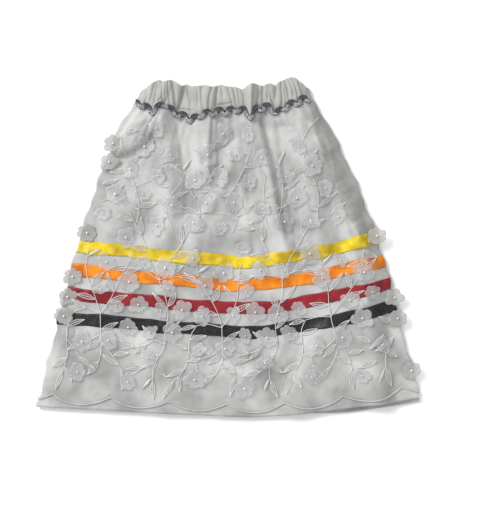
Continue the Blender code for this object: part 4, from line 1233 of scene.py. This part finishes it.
def side_part(name, x, y, turn, part):
    """A part set at a side flower's place and height, turned by some degrees."""
    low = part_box(name)[0][2] / MM - SIDE_FLOWER_DOWN
    c, s = math.cos(math.radians(turn)), math.sin(math.radians(turn))
    points, faces = part
    return [(x + c * px - s * py, y + s * px + c * py, low + pz) for px, py, pz in points], faces


def shrunk(part, size):
    points, faces = part
    return [(x * size, y * size, z) for x, y, z in points], faces


# The side flowers' organza is darker and denser than the other flowers'.
side_organza = organza_finish("side_organza", (0.40, 0.40, 0.385), (0.49, 0.49, 0.475), 0.46, 0.58)
side_flowers = flowers_joined("side_flowers", [
    side_part(*flower, shrunk(make_of_flower(n % 3), SIDE_FLOWER_SIZE))
    for n, flower in enumerate(SIDE_FLOWERS)], side_organza)
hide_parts(*[name for name, _, _, _ in SIDE_FLOWERS])

# The pearls.
# A pearl bead just under 3 mm sewn through the middle of each flower, pressed into the cloth on the back.
# A pearl's radius and how high its middle lies.
PEARL, BACK_PEARL = (1.35, 2.1), (0.8, 0.15)


def pearl_part(radius, height, rings=6, around=10):
    points = [(0.0, 0.0, height + radius)]
    for k in range(1, rings):
        polar = math.pi * k / rings
        out, up = radius * math.sin(polar), height + radius * math.cos(polar)
        angles = [2 * math.pi * j / around for j in range(around)]
        points += [(out * math.cos(angle), out * math.sin(angle), up) for angle in angles]
    points.append((0.0, 0.0, height - radius))
    faces = [(0, 1 + j, 1 + (j + 1) % around) for j in range(around)]
    for k in range(rings - 2):
        a, b = 1 + k * around, 1 + (k + 1) * around
        faces += [(a + j, b + j, b + (j + 1) % around, a + (j + 1) % around) for j in range(around)]
    last = len(points) - 1
    faces += [(last, last - around + (j + 1) % around, last - around + j) for j in range(around)]
    return points, faces


def pearl_finish(name):
    """Pearl: white with a clear glossy coat and a faint bloom of tone."""
    material, tree, shader = new_finish(name, 0.22, Coat_Weight=0.6, Coat_Roughness=0.08,
                                        Specular_IOR_Level=0.6)
    mottled(tree, shader, (0.74, 0.73, 0.71), (0.88, 0.87, 0.85), 0.004)
    return material


nacre = pearl_finish("pearl_white")
front_pearl = joined("front_pearl_make", [pearl_part(*PEARL)], nacre)
back_pearl = joined("back_pearl_make", [pearl_part(*BACK_PEARL)], nacre)
front_pearls = set_on_lace("front_pearls", front_places, [front_pearl] * 3, 0.0, 1.0, nacre)
back_pearls = set_on_lace("back_pearls", back_places, [back_pearl] * 3, 0.0, -1.0, nacre)
side_pearls = joined("side_pearls", [side_part(name, x, y, 0, pearl_part(*PEARL))
                                     for name, x, y, _ in SIDE_FLOWERS], nacre)
for make in cupped + pressed + [front_pearl, back_pearl]:
    bpy.data.objects.remove(make)
lace_trims += [side_flowers, front_pearls, back_pearls, side_pearls]
for piece in lace_trims:
    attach(piece, "root")

# The waist casing.
# Plain white cotton-like cloth folded over a 25 mm elastic and gathered by it into about 24 uneven pleats
# on the front, flatter in two places. Its top edge rises and falls with the pleats.
CASING_TOP = (
    (-104, 208.5), (-99, 214.0), (-92, 217.6), (-84.5, 215.2), (-75.5, 217.4), (-67, 212.8),
    (-60.5, 209.6), (-56.3, 213.0), (-50.5, 209.6), (-42, 209.4), (-31.5, 210.4), (-25.5, 208.7),
    (-17.5, 208.7), (-11.5, 211.6), (-5.5, 209.4), (7.5, 208.5), (15, 206.4), (18.5, 206.0),
    (24, 209.6), (34, 212.4), (42.5, 210.3), (49, 212.5), (55.5, 212.2), (59, 210.5),
    (64, 214.0), (72, 218.2), (83.5, 220.6), (90, 218.0), (94, 213.5), (97, 209.0),
)
CASING_TOP_LEFT, CASING_TOP_RIGHT = -104.0, 97.0
# A crease between two pleats: x at the seam and at the top, half width, depth, and where up it begins and
# ends.
CASING_CREASES = (
    (-116, -103, 1.2, 0.5, 0, 1), (-110, -101, 1.0, 0.7, 0, 0.9), (-103, -96.5, 1.0, 0.6, 0.3, 1),
    (-98, -93.6, 1.2, 0.9, 0, 1), (-90.5, -89.5, 0.9, 0.5, 0, 0.5), (-84.5, -87.8, 1.3, 0.9, 0, 0.95),
    (-80, -83, 0.9, 0.5, 0.5, 1), (-76, -79, 1.1, 0.8, 0.1, 1), (-68.7, -73.7, 1.4, 1.1, 0, 0.95),
    (-68, -56.3, 1.3, 1.0, 0, 1), (-45, -56, 1.0, 0.8, 0.5, 1), (-52, -48, 0.9, 0.4, 0, 0.3),
    (-32.3, -36, 1.4, 1.1, 0, 0.9), (-40, -42, 0.8, 0.4, 0.5, 1), (-27.5, -22, 1.1, 0.8, 0, 0.9),
    (-18.5, -13.5, 1.2, 0.9, 0.3, 1), (-6, -10.5, 0.9, 0.6, 0.7, 1), (5, 0, 1.1, 0.8, 0.1, 0.9),
    (12.5, 4, 1.2, 0.9, 0, 0.95), (17, 10, 0.9, 0.5, 0.3, 0.9), (22.5, 16.5, 1.9, 1.2, 0, 1),
    (27, 25, 0.9, 0.5, 0, 0.5), (30.5, 32.5, 1.1, 0.8, 0, 0.9), (37.5, 38, 1.0, 0.7, 0, 1),
    (45.5, 43.5, 1.7, 1.2, 0, 1), (52, 47, 0.9, 0.5, 0.4, 1), (59, 50.5, 1.2, 0.9, 0, 0.9),
    (60.5, 60, 1.4, 1.0, 0.2, 1), (68, 69, 1.0, 0.8, 0, 0.9), (74, 73, 0.9, 0.5, 0, 0.5),
    (80.5, 72, 1.2, 0.9, 0.2, 0.95), (86, 77, 1.0, 0.8, 0.3, 0.95), (91, 82, 1.1, 0.8, 0.1, 0.9),
    (97, 90.5, 1.2, 0.8, 0, 1), (103, 94.5, 1.0, 0.5, 0, 1),
)
# A crease that runs across the casing: from x to x, how far up, its half height and its depth.
CASING_CROSSES = (
    (-66, -46, 0.17, 0.035, 0.75),
    (-15, 3, 0.24, 0.04, 0.6),
    (40, 56, 0.10, 0.04, 0.5),
    (-97, -88, 0.3, 0.04, 0.4),
)
CASING_ROWS, CASING_FRONT_COLUMNS, CASING_BACK_COLUMNS = 34, 440, 220
# How high the casing's back lies, how far its ends bulge sideways, how far its creases bend, and its wall.
CASING_BACK, CASING_BULGE, CREASE_BEND, CASING_THICK = 0.5, 4.0, 1.0, 0.9
# The highest value of the bow along an end before it is scaled, and the most that a crease may sink.
BOW_PEAK, DEEPEST_CREASE = 0.082, 1.35
# How far the cloth bulges at a side fold, and the casing's flat length and height.
CASING_SIDE_BULGE, CASING_FLAT_LONG, CASING_FLAT_TALL = 0.95, 620.0, 40
# How far the casing's seam lies off the front's floor, how far its middle swells, and how high its puffs
# stand over the creases in front and behind.
CASING_OFF, CASING_SWELL, PUFF_FRONT, PUFF_BACK = 1.6, 1.2, 3.1, 0.7
COTTON_THREADS, COTTON_WRINKLES = 0.0008, 160.0


def casing_plan(across, up):
    """The place on the table of a point of the casing, up from its seam at 0 to its top at 1."""
    seam_x, seam_y = plan(across, np.zeros_like(across))
    top_x = CASING_TOP_LEFT + (CASING_TOP_RIGHT - CASING_TOP_LEFT) * (across + 1) / 2
    top_y = through(top_x, CASING_TOP, 1)
    bulge = CASING_BULGE * across * np.abs(across) ** 5 * up ** 4 * (1 - np.minimum(up, 1)) / BOW_PEAK
    return seam_x + (top_x - seam_x) * up + bulge, seam_y + (top_y - seam_y) * up


def pleats(across, up, mirrored=False):
    """The casing's puffs and creases, from about 0 in a crease to 1 on a puff."""
    x, _ = casing_plan(across, up)
    if mirrored:
        x = CASING_TOP_LEFT + CASING_TOP_RIGHT - x
    sunk = np.zeros(np.shape(x))
    for seam_x, top_x, half_width, depth, begins, ends in CASING_CREASES:
        bent = CREASE_BEND * np.sin(5.0 * up + 1.3 * seam_x) * smooth(up / 0.3)
        far = np.abs(x - seam_x - (top_x - seam_x) * up - bent) / half_width
        reach = smooth((up - begins) / 0.25 + 1) * smooth((ends - up) / 0.25 + 1)
        sunk = sunk + depth * (0.55 * np.exp(-far ** 1.3) + 0.45 * np.exp(-(far / 2.6) ** 2)) * reach
    for begins, ends, height, half_height, depth in CASING_CROSSES:
        reach = smooth((x - begins) / 5 + 0.5) * smooth((ends - x) / 5 + 0.5)
        sunk = sunk + depth * np.exp(-((up - height - 0.004 * (x - begins)) / half_height) ** 2) * reach
    return 1 - np.minimum(sunk, DEEPEST_CREASE) + 0.06 * np.sin(x / 3.3 + 2 * up)


def casing_front(across, up):
    """The height of the casing's front, from its seam to the round of its top edge."""
    x, y = casing_plan(across, up)
    seam = np.zeros_like(across)
    loft = PANEL_LOFT + WAIST_LOFT + folded(*plan(across, seam), FOLDS)
    base = FRONT_FLOOR + CASING_OFF + np.maximum(loft, 0) * side_fade(across, seam, LEFT_FALL, RIGHT_FALL)
    depth = PUFF_FRONT * (0.55 + 0.45 * smooth(up / 0.30)) * side_fade(across, seam, 5.0, 5.0)
    body = CASING_SWELL * np.sin(math.pi * np.clip(up, 0, 1)) ** 0.7
    return base + body + depth * pleats(across, up) + 0.12 * np.sin(x / 3.1 + y / 4.3)


def casing_rows(inset, columns):
    """Points of the casing's outer side at inset 0, or of its inner side, round the waist."""
    rounded = ((0.997, 0.25), (1.004, 0.8), (1.007, 1.5), (1.004, 2.0))
    rows = [(u, 0.0) for u in np.linspace(0, 0.985, CASING_ROWS - len(rounded))] + list(rounded)
    up, tuck = (np.array(column)[::-1, None] for column in zip(*rows))
    both = []
    for a, front in zip(columns, (True, False)):
        a2, u2 = a[None] + 0 * up, up + 0 * a[None]
        x, y = casing_plan(a2, u2)
        puffed = smooth((u2 - 0.4) / 0.6) * (pleats(a2, np.ones_like(u2), not front) - 0.6)
        y = y + 0.8 * puffed * (1 if front else 0.6)
        if front:
            z = casing_front(a2, u2) - tuck - inset
        else:
            puffs = PUFF_BACK * (1.1 - pleats(a2, u2, True)) * smooth(u2 / 0.3)
            z = CASING_BACK + puffs + 0.8 * tuck + inset
        both.append(np.stack([x, y, z], axis=2))
    front, back = both
    right = side_turn(front[:, -1], back[:, 0], np.array([1.0, 0.0]), CASING_SIDE_BULGE)
    left = side_turn(back[:, -1], front[:, 0], np.array([-1.0, 0.0]), CASING_SIDE_BULGE)
    points = np.concatenate([front, right, back, left], axis=1)
    flat = np.linspace(0, CASING_FLAT_LONG, points.shape[1] + 1)
    return points, np.stack([flat[None] + 0 * up, CASING_FLAT_TALL * up + 0 * flat[None]], axis=2)


def cotton_finish(name):
    """Plain matt cotton: a visible over-and-under weave, and soft pressed wrinkles."""
    material, tree, shader = new_finish(name, 0.85, Sheen_Weight=0.12, Specular_IOR_Level=0.25)
    mottled(tree, shader, (0.325, 0.325, 0.308), (0.40, 0.40, 0.382), 0.02)
    wrinkle = noise_of(tree, COTTON_WRINKLES, 4.0)
    weave = thread_waves(tree, COTTON_THREADS, COTTON_THREADS)
    relief = math_of(tree, "MULTIPLY_ADD", weave, 0.2, wrinkle)
    raised(tree, shader, relief, 0.0006, 0.5)
    return material


casing_columns = columns_of(CASING_FRONT_COLUMNS, CASING_BACK_COLUMNS)
casing_outer, casing_flat = casing_rows(0.0, casing_columns)
casing_inner, _ = casing_rows(CASING_THICK, casing_columns)
casing = round_cloth("waist_casing", casing_outer, casing_inner, casing_flat, cotton_finish("white_cotton"))
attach(casing, "root")
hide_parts("waistband_front", "waistband_back")

# The wavy braid.
# A plaited silver-grey braid about 5.5 mm wide, waved over the casing's seam and machined down. It is carried
# round the back.
# Its colour is darker at its edges and on its high swings and brighter in the middle of its low ones and
# where strands cross
# over: partly its gunmetal and silver threads, partly painted shade and highlight, with painted glints.
BRAID_WAVES, BRAID_SWING, BRAID_MARGIN = 14.5, 3.4, 0.012
BRAID_STRANDS, STRAND_THICK, PLAIT_PITCH, PLAIT_WIDE, PLAIT_DEEP = 7, 0.66, 7.5, 2.1, 0.34
BRAID_STEP, BRAID_LEAN, BRAID_TWIST = 0.8, 1.1, 0.0008
# How far the lowest strand is kept off what the braid crosses, and off the table.
BRAID_OFF, BRAID_CLEAR = 0.05, 0.02
# The gunmetal tone, which also carries painted shade, and the silver tone, which also carries painted
# highlight.
BRAID_DARK, BRAID_SILVER_AND_HIGHLIGHT = (0.052, 0.060, 0.066), (0.80, 0.78, 0.84)


def settled(points, surfaces, front, reach=4):
    """Heights at which a stiff braid rests over the highest parts of what it crosses."""
    way, pick = (-1.0, np.max) if front else (1.0, np.min)
    heights = []
    for x, y in points:
        hits = [tree.ray_cast(Vector((x * MM, y * MM, -way)), Vector((0, 0, way)))[0] for tree in surfaces]
        found = [hit.z / MM for hit in hits if hit is not None] or [np.nan]
        heights.append(pick(found))
    heights, place = np.array(heights), np.arange(len(heights))
    known = ~np.isnan(heights)
    heights = np.interp(place, place[known], heights[known])
    spread = np.pad(heights, reach, mode="edge")
    carried = pick([spread[i:i + len(heights)] for i in range(2 * reach + 1)], axis=0)
    kernel = np.hanning(2 * reach + 3)[1:-1]
    return np.convolve(np.pad(carried, reach, mode="edge"), kernel / kernel.sum(), mode="valid")


def surface_of(piece):
    mesh = piece.data
    return BVHTree.FromPolygons([tuple(v.co) for v in mesh.vertices],
                                [tuple(p.vertices) for p in mesh.polygons])


def braid_path(front, surfaces):
    """The braid's middle line on one side, its heights, its sideways direction, its waves and its length."""
    turns = np.linspace(0, BRAID_WAVES, 600)
    across = (1 - BRAID_MARGIN) * (2 * turns / BRAID_WAVES - 1)
    x, y = plan(across, np.zeros_like(across))
    uneven = 1 + 0.18 * np.sin(1.9 * turns + 0.4) + 0.10 * np.sin(4.3 * turns)
    y = y + BRAID_SWING * uneven * np.cos(2 * math.pi * turns)
    x = x + BRAID_LEAN * np.sin(4 * math.pi * turns)
    far = np.concatenate([[0], np.cumsum(np.hypot(np.diff(x), np.diff(y)))])
    at = np.linspace(0, far[-1], int(far[-1] / BRAID_STEP))
    path = np.stack([np.interp(at, far, x), np.interp(at, far, y)], axis=1)
    wave = np.interp(at, far, turns)
    height = settled(path, surfaces, front)
    along = np.gradient(path, axis=0)
    along /= np.linalg.norm(along, axis=1)[:, None]
    return path, height, np.stack([-along[:, 1], along[:, 0]], axis=1), wave, at


def braid_strands(front, surfaces):
    """The lines of the plait's strands on one side, their thickness, and how far each is silver and painted
    with highlight.
    """
    path, height, side, wave, far = braid_path(front, surfaces)
    rest = STRAND_THICK + PLAIT_DEEP + BRAID_OFF
    lines, thick, bright = [], [], []
    for k in range(BRAID_STRANDS):
        phase = 2 * math.pi * (far / PLAIT_PITCH / 2 + k / BRAID_STRANDS)
        aside = PLAIT_WIDE * np.sin(phase)
        over = PLAIT_DEEP * np.sin(2 * phase)
        z = height + (rest + over) * (1 if front else -1)
        if not front:
            z = np.maximum(z, STRAND_THICK + BRAID_CLEAR)
        lines.append(np.column_stack([path + side * aside[:, None], z]))
        thick.append(np.full(len(path), STRAND_THICK))
        # Brighter on low swings, in the band's middle and where a strand crosses over: partly silver thread,
        # partly painted highlight and shade.
        low_swing = 0.12 + 0.68 * smooth((0.55 - np.cos(2 * math.pi * wave)) / 1.1)
        middle = 1 - (aside / PLAIT_WIDE) ** 2
        crossed_over = 0.45 + 0.75 * np.maximum(np.sin(2 * phase), 0)
        bright.append(np.clip(low_swing * (0.35 + 0.65 * middle) * crossed_over, 0, 1))
    return lines, thick, bright


def metal_braid_finish(name):
    """Metallic thread: gunmetal at the braid's edges and silver in its middle, partly its own two tones and
    partly painted shade and highlight, with painted lilac glints.
    """
    material, tree, shader = new_finish(name, 0.32, Metallic=0.75, Specular_IOR_Level=0.6)
    # Painted glints in small noise.
    painted_glint = ranged(tree, noise_of(tree, 700.0, 2.0), 0.38, 0.62, 0.35, 1.25)
    way = math_of(tree, "MULTIPLY", mark_read(tree, "bright"), painted_glint)
    tinted(tree, shader, way, BRAID_DARK, BRAID_SILVER_AND_HIGHLIGHT)
    wound(tree, shader, BRAID_TWIST, 0.00015, 0.6)
    return material


carried_on = [surface_of(lace), surface_of(casing)]
braid_lines, braid_thick, braid_bright = [], [], []
for front in (True, False):
    for gathered, part in zip((braid_lines, braid_thick, braid_bright), braid_strands(front, carried_on)):
        gathered += part
braid = grown("wavy_braid", lines_object("strands", braid_lines, thick=braid_thick, bright=braid_bright),
              cords_tree, {"Material": metal_braid_finish("silver_thread"), "Sides": 5})
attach(braid, "root")
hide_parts("braid_front", "braid_back")
